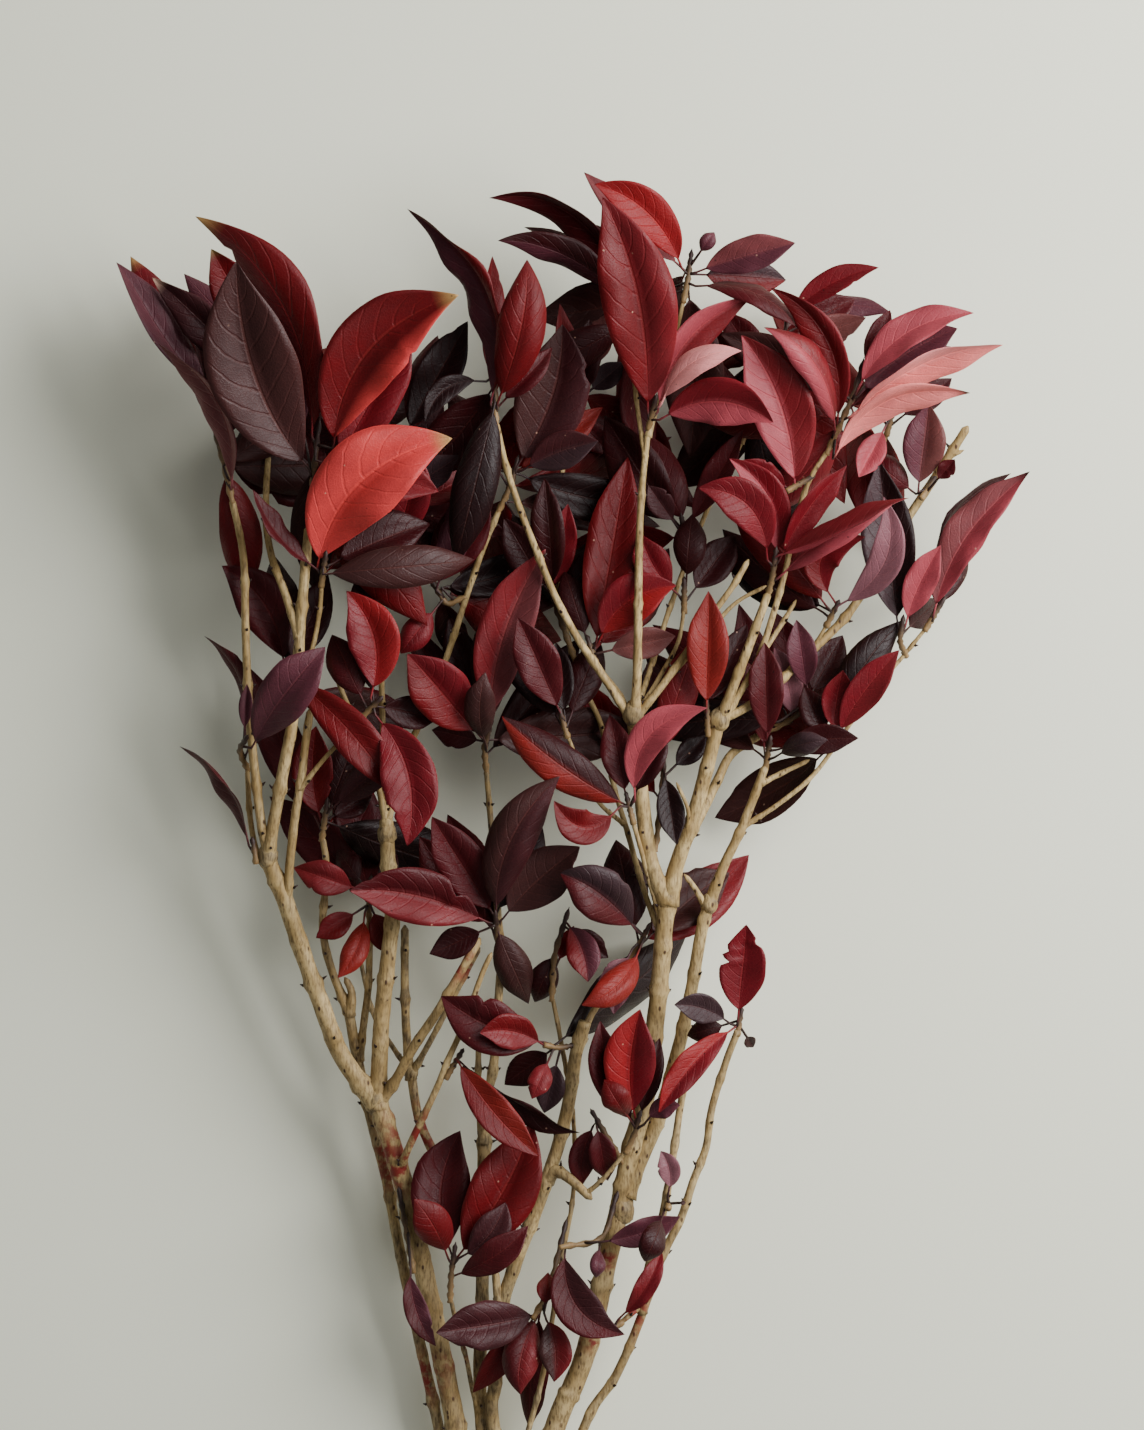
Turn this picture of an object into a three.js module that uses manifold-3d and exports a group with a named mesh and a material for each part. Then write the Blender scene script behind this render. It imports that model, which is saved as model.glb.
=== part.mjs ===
// Dried osmanthus bunch: seven cut woody stems that fan out into red and dusky leaves.
// It lies on its side: X runs across the fan, Y from the cut feet to the crown, Z up.
import * as THREE from "three";
import { mergeGeometries, mergeVertices } from "three/addons/utils/BufferGeometryUtils.js";
import Module from "manifold-3d";

const wasm = await Module();
wasm.setup();

// Driving dimensions, in millimetres. Tables give points as [x, y, depth], where depth is
// the height over or under the middle of the lying bunch.
const FOOT_Y = -155; // where the stems are cut
const FOOT_HEIGHT = 15.2; // middle of the bundle of cut feet over the floor
const CROWN_RISE = 112; // how far the middle would climb if the stems went on for ever
const CROWN_REACH = 950; // the length over which that climb fades out
const RIB_THICKNESS = 1.3; // blades are thickest at the rib and run out to their edges
const PETIOLE_LENGTH = 5; // of the slim foot of a blade, past the thread from its stalk
const FOOT_LIFT = 2; // of a blade's foot over its place on the stalk
const SHORTEST_THREAD = 4; // from a stalk's face to the foot of a blade
const PETIOLE_WIDTH = 1.8;
const SLENDERNESS = 0.27; // the least width of a flat leaf for its length
const WIDEST_LEAF = 48;
const FLOOR_CLEARANCE = 0.6; // leaf middles are laid along the floor at this height
const CENTRE = [1.5, 236.26]; // of the bunch's outline, which becomes the origin
const SEAT_GAPS = [0.35, 0.6, 0.9, 1.3, 1.8, 2.4, 3.2]; // between a shoot and its wood
const NODE_GAP = 0.45; // kept free round every blade
const SHOOT_RADIUS = 1.5;
const SHOOT_TIP_RADIUS = 1.0;
const STALK_SIDES = 4;
const LEAVES_PER_STEP = 2.5; // of a stalk, which has four faces in each of its steps
const POINT_WELD = 1e-5;
const JOINT_WELD = 2e-3;
const SLIVER_VOLUME = 0.01; // cubic millimetres
const ROOT_OVERLAP = 0.1; // cubic millimetres that neighbouring leaf roots may share
const FACE_TRIES = 4;
const FACE_NEARNESS = 0.05; // how much a millimetre off a leaf's foot counts
const FACE_AHEAD = 0.1; // and a millimetre further on than the foot

// Blade stations as a share of the blade, for the leaves in view and for the filling ones
const FULL_STATIONS = [0.2, 0.52, 0.82];
const SHORT_STATIONS = [0.3, 0.72];

// Wood. Each branch is [radius at its start, radius at its end, points]; the first point of
// a side branch lies on the branch that carries it.
const STEMS = {
  stem_tall_left: {
    trunk: [5.2, 4.9, [[-30, -155, -10], [-45, -80, -9], [-58.5, 0, -8], [-68.5, 50, -8],
      [-76, 85, -8], [-84, 120, -7], [-93, 150, -6], [-98.5, 166, -6]]],
    left: [4.6, 4.2, [[-98, 163, -6], [-107, 174, -5], [-117, 190, -4], [-125, 211, -2],
      [-135, 239, 0], [-143, 263, 2], [-151, 283, 3], [-153, 292, 4]]],
    far_left: [1.6, 1.3, [[-150, 278, 3], [-157, 287, 0], [-161, 306, -2], [-162.5, 331, -4]]],
    high_left: [2.4, 1.7, [[-152, 288, 4], [-155, 302, 6], [-158.5, 330, 6], [-161.5, 365, 6],
      [-163, 400, 4], [-164, 436, 2], [-170, 466, 0]]],
    tall: [3.1, 2.4, [[-152, 286, 4], [-149, 304, 8], [-144, 330, 12], [-139.5, 354, 14],
      [-136.5, 385, 15], [-134.5, 412, 15], [-131, 452, 14]]],
    tall_side: [2.1, 1.5, [[-136, 396, 15], [-143, 418, 11], [-150, 437, 4], [-153, 458, -4],
      [-152, 488, -14]]],
    tall_back: [1.3, 1.1, [[-137.5, 376, 14], [-130, 389, 12], [-126, 408, 14],
      [-124.5, 424, 17]]],
    inner: [2.3, 1.9, [[-142.5, 262, 2], [-141, 284, 6], [-138, 309, 8], [-135, 326, 9],
      [-133, 344, 9], [-130.5, 361, 9]]],
    inner_side: [1.3, 1.0, [[-136, 320, 9], [-125, 334, 14], [-113, 347, 17], [-103, 358, 18]]],
    straight: [4.2, 3.6, [[-97.5, 160, -6], [-95.5, 203, -5], [-92, 237, -4], [-90, 258, -3],
      [-92, 284, -3], [-93, 307, -3]]],
    straight_top: [1.6, 1.4, [[-93, 303, -3], [-94.5, 344, -6], [-95.5, 388, -8],
      [-95.5, 436, -8]]],
    diagonal_a: [1.6, 1.3, [[-93, 303, -3], [-97, 322, -1], [-104, 341, 0], [-111, 359, 0],
      [-118, 378, -2], [-121, 394, -4]]],
    diagonal_b: [1.4, 1.1, [[-94, 308, -4], [-101, 336, -8], [-110, 352, -11],
      [-116, 364, -12]]],
    slant: [1.9, 1.5, [[-92.5, 304, -3], [-84, 335, -8], [-76, 354, -9], [-64, 383, -9],
      [-53, 416, -8], [-44, 442, -8], [-36, 461, -8]]],
    lower_slant: [2.6, 2.1, [[-97, 162, -6], [-88, 175, 0], [-80, 190, 4], [-66, 211, 6],
      [-54, 232, 5], [-46, 246, 2]]],
    dyed: [2.0, 1.3, [[-87, 128, -6], [-83, 138, 2], [-77, 151, 7], [-68, 170, 11],
      [-62, 185, 13], [-54, 203, 14], [-45, 228, 15], [-40, 239, 15]]],
  },
  stem_slim_left: {
    trunk: [2.9, 2.6, [[-40, -150, -12], [-54, -75, -12], [-67.5, 0, -14], [-78.5, 50, -15],
      [-87, 90, -16], [-93.5, 125, -18], [-102, 158, -20], [-108, 186, -18],
      [-112.5, 211, -14]]],
    top: [2.2, 1.5, [[-112.5, 209, -14], [-121, 231, -12], [-125, 250, -10], [-124, 266, -8],
      [-123, 282, -7], [-125, 297, -6]]],
    dried_knob: [2.5, 1.6, [[-112, 207, -14], [-110.5, 218, -11], [-114, 226, -10]]],
    inner: [2.0, 1.6, [[-107, 184, -18], [-104.5, 203, -15], [-102, 224, -13],
      [-101.5, 252, -12]]],
  },
  stem_middle: {
    trunk: [3.3, 3.3, [[-21, -152, -12], [-32, -80, -11], [-45.5, 0, -11], [-45, 70, -12],
      [-44.5, 110, -12], [-44, 148, -12]]],
    upper: [2.6, 1.3, [[-44.5, 142, -12], [-43, 165, -10], [-39.5, 180, -9], [-37, 213, -7],
      [-35.5, 240, -3], [-37, 258, -1], [-40, 296, -4], [-43, 331, -6]]],
    beside: [1.8, 1.5, [[-45, 140, -12], [-47, 165, -15], [-47, 192, -17]]],
    branch: [2.6, 2.3, [[-45, 102, -12], [-52, 112, -15], [-62, 124, -19], [-72, 142, -23],
      [-78, 158, -25], [-81, 178, -26]]],
    branch_up: [2.3, 2.0, [[-81, 174, -26], [-83, 193, -24], [-84, 220, -22], [-84, 252, -22]]],
    branch_left: [1.4, 1.1, [[-81, 177, -26], [-90, 190, -30], [-100, 207, -32],
      [-107, 236, -32]]],
    branch_right: [1.7, 1.3, [[-81, 176, -26], [-71, 194, -18], [-62, 211, -14],
      [-51, 232, -12], [-46, 241, -12]]],
    foot_shoot: [1.3, 1.1, [[-45.5, 2, -11], [-50, 18, -6], [-53, 34, -2], [-58, 52, 2],
      [-61, 66, 6]]],
  },
  stem_hooked: {
    trunk: [3.4, 3.3, [[-13, -148, -12], [-24, -80, -10], [-39.5, 0, -5], [-38.5, 22, -4],
      [-35, 60, -2], [-27, 86, 0], [-18, 109, 2], [-11.5, 128, 3], [-6, 145, 4],
      [-1, 167, 5], [2, 188, 7], [6.5, 204, 10]]],
    stub: [2.3, 1.9, [[-36, 56, -2], [-37.5, 68, 0], [-38.5, 79, 1]]],
    arch: [2.9, 2.1, [[-12.5, 124, 2], [-8, 129, 6], [-2, 126, 10], [5, 120, 12],
      [10, 115, 12]]],
    arch_tip: [1.3, 1.0, [[7, 118, 12], [14, 124, 15], [21, 132, 17], [28, 141, 19]]],
    thin_left: [1.4, 1.1, [[-0.5, 170, 5], [-4, 186, 1], [-7, 202, -2], [-10, 217, -4]]],
    thin_right: [1.8, 1.6, [[3, 193, 8], [10, 208, 4], [17, 218, 2], [30, 237, 0]]],
  },
  stem_thin: {
    trunk: [1.8, 1.1, [[-62, -146, -2], [-45, -80, -1.7], [-21.5, 0, 8], [-14, 30, 8],
      [-9, 60, 6], [-3.5, 93, 0], [0, 112, -4], [1.5, 134, -6], [0.5, 160, -6]]],
  },
  stem_main_right: {
    trunk: [5.9, 4.3, [[-50, -155, 4], [-33, -80, 5], [-8.5, 0, 6], [1, 22, 6], [9.5, 46, 6],
      [15, 72, 6], [20, 94, 7], [25, 117, 7], [29.5, 140, 7], [36, 163, 7], [40, 190, 8],
      [43.5, 220, 9], [46, 250, 10], [48, 268, 10]]],
    left: [4.0, 3.5, [[47.5, 264, 10], [42, 276, 12], [38, 290, 13], [35.5, 310, 13],
      [33, 334, 14], [30.5, 358, 15]]],
    left_1: [2.1, 1.5, [[30, 354, 15], [22, 367, 16], [12, 382, 17], [2, 397, 17],
      [-9, 418, 17], [-18, 440, 17], [-27, 463, 17], [-33, 482, 16], [-38, 504, 15]]],
    left_2: [2.4, 1.5, [[31, 352, 15], [32.5, 380, 20], [33, 415, 22], [33.5, 445, 20],
      [35, 472, 17], [38, 500, 10]]],
    left_3: [2.0, 1.4, [[31, 355, 15], [44, 371, 17], [58, 390, 18], [71, 409, 19],
      [81, 423, 19], [88, 435, 18]]],
    left_3_side: [1.3, 1.0, [[46, 374, 17], [62, 391, 14], [80, 412, 11], [97, 422, 9]]],
    left_4: [1.5, 1.2, [[31, 357, 14], [37, 374, 6], [43, 393, -1], [50, 414, -5],
      [60, 441, -9], [72, 470, -12], [86, 496, -13]]],
    left_5: [1.3, 1.0, [[32, 357, 14], [44, 377, 10], [53, 394, 4], [56, 411, 1]]],
    left_6: [1.4, 1.1, [[30, 356, 14], [23, 369, 12], [16, 378, 9], [11, 386, 6]]],
    top_left: [1.3, 1.0, [[36.5, 486, 14], [33, 508, 4], [30, 532, 0]]],
    top_right: [1.4, 1.0, [[38, 496, 11], [46, 524, 4], [52, 548, 4], [56, 566, 4]]],
    right: [4.0, 3.3, [[48, 263, 10], [52, 282, 11], [58, 299, 12], [63, 315, 13],
      [68, 334, 14], [73.5, 356, 15]]],
    right_1: [2.7, 2.0, [[73, 352, 15], [80, 371, 18], [87, 389, 20], [94, 408, 20],
      [98, 419, 19]]],
    right_2: [1.9, 1.2, [[74, 354, 15], [84, 369, 14], [93, 386, 13], [101, 410, 11],
      [107, 432, 10], [111, 452, 12], [118, 474, 12], [128, 490, 10]]],
    right_2_side: [1.5, 1.1, [[88, 376, 13], [97, 391, 6], [106, 405, 2], [112, 415, 0]]],
    right_3: [2.1, 2.2, [[74, 355, 15], [88, 362, 10], [103, 374, 4], [118, 388, -2],
      [138, 408, -8], [155, 434, -14], [168, 456, -16], [182, 477, -14], [198, 502, -10]]],
    right_3_side: [1.1, 0.9, [[114, 384, 0], [122, 394, 3], [128, 404, 5]]],
    right_3_up: [1.3, 1.0, [[162, 446, -15], [155, 464, -16], [153, 482, -15],
      [158, 500, -12]]],
    cut_nub: [1.4, 1.0, [[185, 482, -13], [190, 487, -12], [196, 490, -12]]],
    behind: [2.7, 2.0, [[56, 294, 12], [64, 307, 2], [72, 323, -6], [80, 338, -11],
      [95, 348, -14]]],
    behind_twig: [1.2, 0.9, [[56, 295, 11], [58, 309, 18], [52, 324, 20]]],
    thin_1: [1.5, 1.2, [[45, 246, 9], [38, 264, 4], [33, 280, 0], [28, 298, -3],
      [21, 322, -7], [15, 351, -10], [7, 370, -11], [-3, 400, -12], [-8, 440, -16],
      [-5, 478, -18], [0, 502, -18]]],
    thin_1_side: [1.2, 0.9, [[26, 303, -4], [15, 312, 2], [8, 323, 6], [-3, 349, 9]]],
    thin_2: [1.4, 1.2, [[45.5, 252, 10], [40, 270, 12], [35, 288, 16], [30, 306, 18]]],
    fork: [3.9, 2.9, [[27, 116, 6], [34, 134, 3], [44, 157, 1], [50.5, 180, 0],
      [56, 202, -1], [60.5, 224, -1], [65, 250, 0], [69, 265, 1]]],
    fork_left: [1.7, 1.3, [[67.5, 260, 1], [62, 270, 3], [56, 278, 4]]],
    fork_top: [2.7, 2.0, [[68.5, 262, 1], [75, 280, 2], [83, 297, 3], [90, 314, 3],
      [97, 333, 3]]],
    fork_side: [1.3, 1.0, [[85, 301, 3], [106, 315, 2], [122, 329, 0], [137, 350, -5],
      [152, 371, -9], [165, 386, -10], [178, 402, -10]]],
    fork_side_2: [1.5, 1.1, [[94, 323, 3], [106, 329, -3], [119, 335, -6]]],
  },
  stem_slim_right: {
    trunk: [2.8, 1.8, [[-38, -150, 3], [-19, -75, 5], [6, 0, 6], [22, 26, 6], [34, 54, 7],
      [45, 86, 8], [54, 104, 8], [61, 125, 9], [67, 141, 9], [70, 161, 10], [77, 184, 11],
      [83, 200, 12]]],
    side: [2.2, 1.8, [[35, 58, 7], [38, 80, 14], [45, 106, 16], [50, 134, 17],
      [54, 161, 17], [57, 176, 16]]],
    dyed_shoot: [1.7, 1.2, [[35, 62, 7], [29, 57, 12], [23, 52, 14]]],
  },
};

// Swollen knots where branches leave: [stem, point, radius]
const KNOTS = [
  ["stem_tall_left", [-98.5, 165, -6], 6.4],
  ["stem_tall_left", [-152, 287, 4], 5.2],
  ["stem_tall_left", [-92.5, 298, -3], 5.0],
  ["stem_middle", [-81, 178, -26], 3.9],
  ["stem_main_right", [30.5, 358, 15], 5.6],
  ["stem_main_right", [47.5, 266, 10], 6.0],
  ["stem_main_right", [73.5, 355, 15], 5.2],
  ["stem_main_right", [25, 110, 7], 6.6],
  ["stem_main_right", [68.5, 263, 1], 4.4],
];

// Leafy shoots. `on` names the branch that carries the shoot and how far along it; `core` is
// the shoot's own stalk. Each leaf is
// [base x, base y, tip x, tip y, width in view, rise of the tip, bow to the left, lift, turn];
// the last two may be left out. `fill` is how many more leaves grow at its back by rule.
const SHOOTS = {
  shoot_left_peak: {
    on: ["stem_tall_left", "tall", 1], core: [[-129, 474, 18], [-126, 500, 20]], fill: 2,
    leaves: [[-131, 480, -166, 582, 46, 38, 10, 6], [-119, 490, -56, 565, 38, 34, 17, 10],
      [-127, 495, -186, 606, 24, 16, -20, 8], [-133, 495, -164, 572, 30, 6, 0, 4],
      [-117, 482, -80, 552, 28, 2, 0, 4]],
  },
  shoot_left_coral: {
    on: ["stem_tall_left", "tall_back", 1], core: [[-123, 434, 20]], fill: 2,
    leaves: [[-127, 430, -59, 495, 42, 22, 16, 16], [-124, 430, -158, 470, 9, 8, 3]],
  },
  shoot_left_edge: {
    on: ["stem_tall_left", "high_left", 1], core: [[-175, 488, -4], [-182, 512, -6]], fill: 2,
    leaves: [[-170, 470, -207, 541, 11, 22, -11, 6], [-180, 515, -226, 585, 16, 4],
      [-186, 525, -221, 587, 20, -14], [-178, 500, -188, 546, 14, -22],
      [-176, 492, -158, 548, 18, -20]],
  },
  shoot_left_upper: {
    on: ["stem_tall_left", "tall_side", 1], core: [[-151, 512, -18], [-150, 538, -20]],
    fill: 2,
    leaves: [[-151, 520, -209, 576, 20, 14], [-151, 538, -180, 590, 24, 20],
      [-151, 530, -195, 579, 18, -4], [-150, 535, -148, 572, 18, -14],
      [-152, 505, -183, 545, 18, -8]],
  },
  shoot_left_inner: {
    on: ["stem_tall_left", "straight_top", 1], core: [[-92, 458, -6], [-85, 484, -6],
      [-81, 500, -6]], fill: 2,
    leaves: [[-93, 440, -82, 493, 22, 26, -6, 6], [-83, 498, -52, 554, 22, 12],
      [-82, 492, -67, 548, 18, -10], [-88, 470, -64, 513, 18, -4],
      [-90, 465, -56, 487, 16, 14], [-88, 476, -112, 522, 20, -24]],
  },
  shoot_slant: {
    on: ["stem_tall_left", "slant", 1], core: [[-31, 471, -6], [-28, 482, -5]], fill: 3,
    leaves: [[-28, 479, -5, 552, 40, 20, -6], [-27, 476, 13, 494, 19, 20, 2, 5],
      [-31, 474, -62, 520, 20, -16], [-29, 478, 16, 512, 16, -6]],
  },
  shoot_peak_middle: {
    on: ["stem_main_right", "left_1", 1], core: [[-38.5, 517, 14], [-39, 530, 14]], fill: 2,
    leaves: [[-39, 512, -84, 606, 15, 16, -18, 8], [-37, 515, -40, 586, 14, 8],
      [-37, 513, -22, 584, 24, 24, -4], [-39, 526, -73, 503, 12, 8, -8],
      [-38, 508, -10, 540, 14, -14]],
  },
  shoot_centre_back: {
    on: ["stem_main_right", "thin_1", 1], core: [[3, 516, -19], [5, 528, -19]], fill: 2,
    leaves: [[1, 508, 9, 555, 18, 6], [0, 508, -5, 563, 11, 16], [5, 524, 17, 558, 18, 14],
      [3, 514, 26, 534, 17, 4], [0, 508, 20, 488, 16, -6]],
  },
  shoot_top_left: {
    on: ["stem_main_right", "top_left", 1], core: [[29, 547, -2], [28, 564, -2]], fill: 2,
    leaves: [[28, 562, -41, 617, 14, 8, -16, 6], [28, 560, -24, 603, 10, -14, -6],
      [27, 563, -37, 594, 15, 24, -9, 4], [28, 563, 12, 604, 20, -22]],
  },
  shoot_top_right: {
    on: ["stem_main_right", "top_right", 1], core: [[58, 576, 5], [59, 584, 5]], fill: 2,
    leaves: [[56, 576, 11, 621, 22, 22, -8, 8], [60, 578, 111, 592, 18, 18, 1, 6],
      [58, 573, 113, 549, 11, 12, 7, 4], [58, 578, 6, 629, 16, -8],
      [60, 578, 108, 575, 20, -16], [60, 580, 71, 598, 10, 6]],
  },
  shoot_top_front: {
    on: ["stem_main_right", "left_2", 1], core: [[41, 512, 16]], fill: 0,
    leaves: [[37, 502, 15, 614, 37, 34, -7, 10], [42, 508, 90, 565, 17, 6, 10, 3],
      [42, 506, 84, 538, 13, 26, 8, 5], [41, 504, 100, 502, 24, 30, 10, 6]],
  },
  shoot_right_peak: {
    on: ["stem_main_right", "left_4", 1], core: [[95, 518, -13], [104, 540, -12],
      [108, 556, -12]], fill: 3,
    leaves: [[108, 556, 153, 581, 13, 14, 5], [106, 548, 142, 566, 18, -6],
      [108, 552, 160, 559, 12, 26, 6], [104, 540, 147, 556, 16, 6], [98, 526, 76, 560, 18, -14]],
  },
  shoot_right_upper: {
    on: ["stem_main_right", "right_2", 1], core: [[134, 503, 10], [141, 519, 10],
      [144, 530, 9]], fill: 2,
    leaves: [[142, 519, 200, 558, 17, 14, 11, 6], [141, 514, 192, 550, 26, 2, 4],
      [137, 509, 190, 543, 16, -18, 2], [135, 504, 214, 541, 14, 24, 5, 5],
      [132, 502, 99, 570, 17, 16, -12, 6], [131, 499, 96, 551, 15, 32, -8, 6],
      [143, 524, 159, 560, 12, -6], [130, 485, 197, 515, 14, 30, 13, 6]],
  },
  shoot_right_front: {
    on: ["stem_main_right", "right_2", 0.86], core: [[109, 470, 22]], fill: 0,
    leaves: [[111, 470, 84, 546, 31, 24, -7, 8], [110, 469, 84, 484, 13, 8]],
  },
  shoot_right_rose: {
    on: ["stem_main_right", "right_3", 0.86], core: [[176, 468, -6]], fill: 0,
    leaves: [[173, 469, 178, 513, 29, 10, 0, 4], [179, 469, 191, 485, 12, 10],
      [172, 468, 146, 488, 18, -14]],
  },
  shoot_right_small: {
    on: ["stem_main_right", "right_3_up", 1], core: [[160, 508, -11]], fill: 1,
    leaves: [[159, 505, 190, 526, 14, 2], [158, 503, 143, 476, 14, 14],
      [160, 508, 168, 548, 20, -18]],
  },
  shoot_far_right: {
    on: ["stem_main_right", "fork_side", 1], core: [[184, 412, -10]], fill: 0,
    leaves: [[181, 408, 229, 478, 20, 14, 10, 5], [183, 412, 221, 478, 12, -14, 13],
      [181, 409, 196, 448, 18, -10]],
  },
  shoot_right_edge: {
    on: ["stem_main_right", "fork_side", 0.86], core: [[164, 394, -4], [165, 402, -3]],
    fill: 0,
    leaves: [[165, 398, 184, 442, 16, 12, 2, 4], [163, 402, 153, 485, 27, 16, 0, 6],
      [164, 398, 184, 416, 14, -18]],
  },
  shoot_right_curl: {
    on: ["stem_main_right", "right_3_side", 1], core: [[131, 410, 7]], fill: 1,
    leaves: [[131, 407, 155, 466, 17, 24, -13, 8], [132, 405, 146, 446, 24, 14, 16, 6]],
  },
  shoot_right_red: {
    on: ["stem_main_right", "right_1", 1], core: [[100, 428, 23], [101, 436, 25]], fill: 0,
    leaves: [[100, 430, 62, 470, 22, 18, -12, 8], [101, 434, 78, 485, 18, 4, -10, 5],
      [100, 426, 158, 463, 13, 20, 2, 4], [101, 435, 137, 481, 13, 12, 2, 4],
      [101, 436, 166, 468, 14, 2]],
  },
  shoot_dusky_back: {
    on: ["stem_main_right", "left_4", 0.62], core: [[56, 447, -4], [55, 453, -2]], fill: 2,
    leaves: [[58, 448, 85, 500, 14, 14], [56, 449, 38, 472, 18, 10], [57, 452, 34, 500, 22, -16]],
  },
  shoot_scarlet: {
    on: ["stem_main_right", "left_5", 1], core: [[56, 421, 3]], fill: 0,
    leaves: [[55, 414, 34, 448, 21, 10, 3, 4], [56, 416, 82, 448, 20, -10],
      [56, 416, 60, 458, 18, -14]],
  },
  shoot_horizontal: {
    on: ["stem_main_right", "fork_top", 1], core: [[98.5, 342, 6]], fill: 1,
    leaves: [[98, 336, 143, 346, 15, 10, 2, 3], [98, 338, 96, 394, 18, 6, 0, 5],
      [98, 337, 127, 345, 12, 24, 2, 3]],
  },
  shoot_right_low: {
    on: ["stem_main_right", "fork_side", 0.42], core: [[127, 340, 4], [131, 346, 6]], fill: 1,
    leaves: [[130, 344, 163, 390, 17, 18, 2, 5], [130, 343, 135, 380, 18, 26, 0, 5],
      [129, 342, 166, 405, 20, -6, 6], [127, 341, 116, 372, 16, -10]],
  },
  shoot_pale: {
    on: ["stem_main_right", "behind", 1], core: [[104, 352, -12], [113, 358, -8],
      [118, 366, -6]], fill: 2,
    leaves: [[110, 354, 101, 391, 15, 34, -3, 6], [118, 368, 112, 405, 15, 16],
      [108, 356, 88, 396, 20, -6], [118, 366, 136, 398, 22, -10]],
  },
  shoot_red_front: {
    on: ["stem_main_right", "right", 0.94], core: [[67, 362, 19]], fill: 0,
    leaves: [[67, 360, 68, 419, 21, 8, 0, 5], [66, 361, 88, 404, 16, -16]],
  },
  shoot_black_pair: {
    on: ["stem_main_right", "left", 0.42], core: [[43, 308, 8], [46, 322, 4], [46, 338, 0]],
    fill: 1,
    leaves: [[46, 325, 67, 347, 24, -4], [46, 330, 52, 293, 14, 10, 0, 3],
      [46, 338, 64, 398, 19, 10, 2, 5], [46, 336, 38, 384, 18, -14]],
  },
  shoot_crescent: {
    on: ["stem_main_right", "thin_2", 1], core: [[28, 314, 19]], fill: 0,
    leaves: [[29, 312, 67, 361, 18, 24, 14, 8], [28, 313, 19, 357, 17, -6],
      [28, 312, -35, 357, 22, 10, 3, 6], [27, 310, -9, 315, 20, 18, 12, 5],
      [28, 314, 46, 352, 15, -14]],
  },
  shoot_rose_middle: {
    on: ["stem_main_right", "left_6", 1], core: [[9, 392, 6]], fill: 1,
    leaves: [[10, 390, 52, 422, 28, 14, 8, 6], [9, 391, 28, 487, 28, -4, 0, 6],
      [9, 390, -4, 430, 16, -8], [10, 388, 52, 397, 16, 0]],
  },
  shoot_middle_back: {
    on: ["stem_main_right", "thin_1", 0.66], core: [[-9, 414, -6], [-10, 420, -4]], fill: 2,
    leaves: [[-9, 418, -2, 463, 15, 12], [-10, 418, -34, 456, 20, -6],
      [-9, 418, 22, 446, 20, -14], [-10, 419, -14, 476, 18, -6]],
  },
  shoot_brick: {
    on: ["stem_middle", "upper", 1], core: [[-44, 341, -4], [-41, 352, 0]], fill: 2,
    leaves: [[-45, 341, -82, 388, 30, 28, 0, 6], [-42, 350, -13, 440, 27, 18, 7, 6],
      [-43, 342, -43, 378, 16, 30, 3, 3], [-43, 346, -62, 408, 20, -10],
      [-43, 344, -70, 350, 16, -8], [-42, 350, -40, 416, 20, -6]],
  },
  shoot_dark_middle: {
    on: ["stem_main_right", "thin_1_side", 1], core: [[-5, 356, 10]], fill: 1,
    leaves: [[-4, 354, -27, 406, 22, 14, 0, 5], [-4, 354, -8, 394, 14, -6],
      [-4, 353, 14, 396, 18, -12]],
  },
  shoot_crimson_back: {
    on: ["stem_tall_left", "slant", 0.66], core: [[-63, 413, -8], [-70, 424, -8]], fill: 2,
    leaves: [[-68, 420, -40, 468, 26, 8, 3], [-68, 420, -46, 479, 18, -6],
      [-66, 418, -86, 388, 22, 4], [-70, 424, -82, 470, 20, -12],
      [-66, 418, -56, 384, 16, -10]],
  },
  shoot_scarlet_hanging: {
    on: ["stem_tall_left", "inner_side", 1], core: [[-98, 363, 20]], fill: 0,
    leaves: [[-98, 362, -82, 292, 28, 6, 9, 8], [-99, 363, -112, 419, 28, 6, -8, 5],
      [-100, 362, -120, 398, 20, -12], [-98, 363, -106, 432, 18, -22],
      [-98, 362, -66, 356, 20, -14]],
  },
  shoot_dusky_low: {
    on: ["stem_slim_left", "top", 1], core: [[-124, 304, -4], [-123, 311, -2]], fill: 2,
    leaves: [[-124, 303, -128, 352, 21, 14, 3, 5], [-122, 308, -83, 343, 17, 22],
      [-123, 308, -108, 348, 20, -10], [-123, 305, -100, 318, 18, -8]],
  },
  shoot_crimson_low: {
    on: ["stem_slim_left", "inner", 1], core: [[-102, 262, -10], [-101, 272, -9]], fill: 1,
    leaves: [[-101, 270, -139, 281, 26, 6, 0, 4], [-102, 264, -128, 246, 28, -2],
      [-102, 262, -117, 226, 13, 14, 3, 4], [-101, 262, -90, 237, 24, -8],
      [-101, 268, -88, 288, 24, -8], [-101, 270, -118, 290, 20, -14]],
  },
  shoot_mauve_left: {
    on: ["stem_tall_left", "far_left", 1], core: [[-166, 337, 0], [-166, 343, 9],
      [-163, 345, 14]], fill: 0,
    leaves: [[-160, 341, -122, 392, 26, -2, 2, 4], [-162, 341, -162, 373, 7, 6],
      [-164, 338, -184, 397, 6, 6, -12], [-164, 337, -150, 372, 14, -14]],
  },
  shoot_far_low: {
    on: ["stem_tall_left", "left", 0.94], core: [[-159, 291, 6]], fill: 0,
    leaves: [[-158, 291, -195, 343, 6, 8, -5, 4]],
  },
  shoot_behind_tall: {
    on: ["stem_tall_left", "tall", 0.52], core: [[-140, 378, 6], [-142, 384, 2]], fill: 2,
    leaves: [[-141, 380, -175, 432, 27, -4, -8], [-141, 380, -122, 428, 20, -18],
      [-141, 384, -150, 438, 20, -30]],
  },
  shoot_star: {
    on: ["stem_middle", "upper", 0.56], core: [[-38, 255, 8]], fill: 1,
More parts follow.
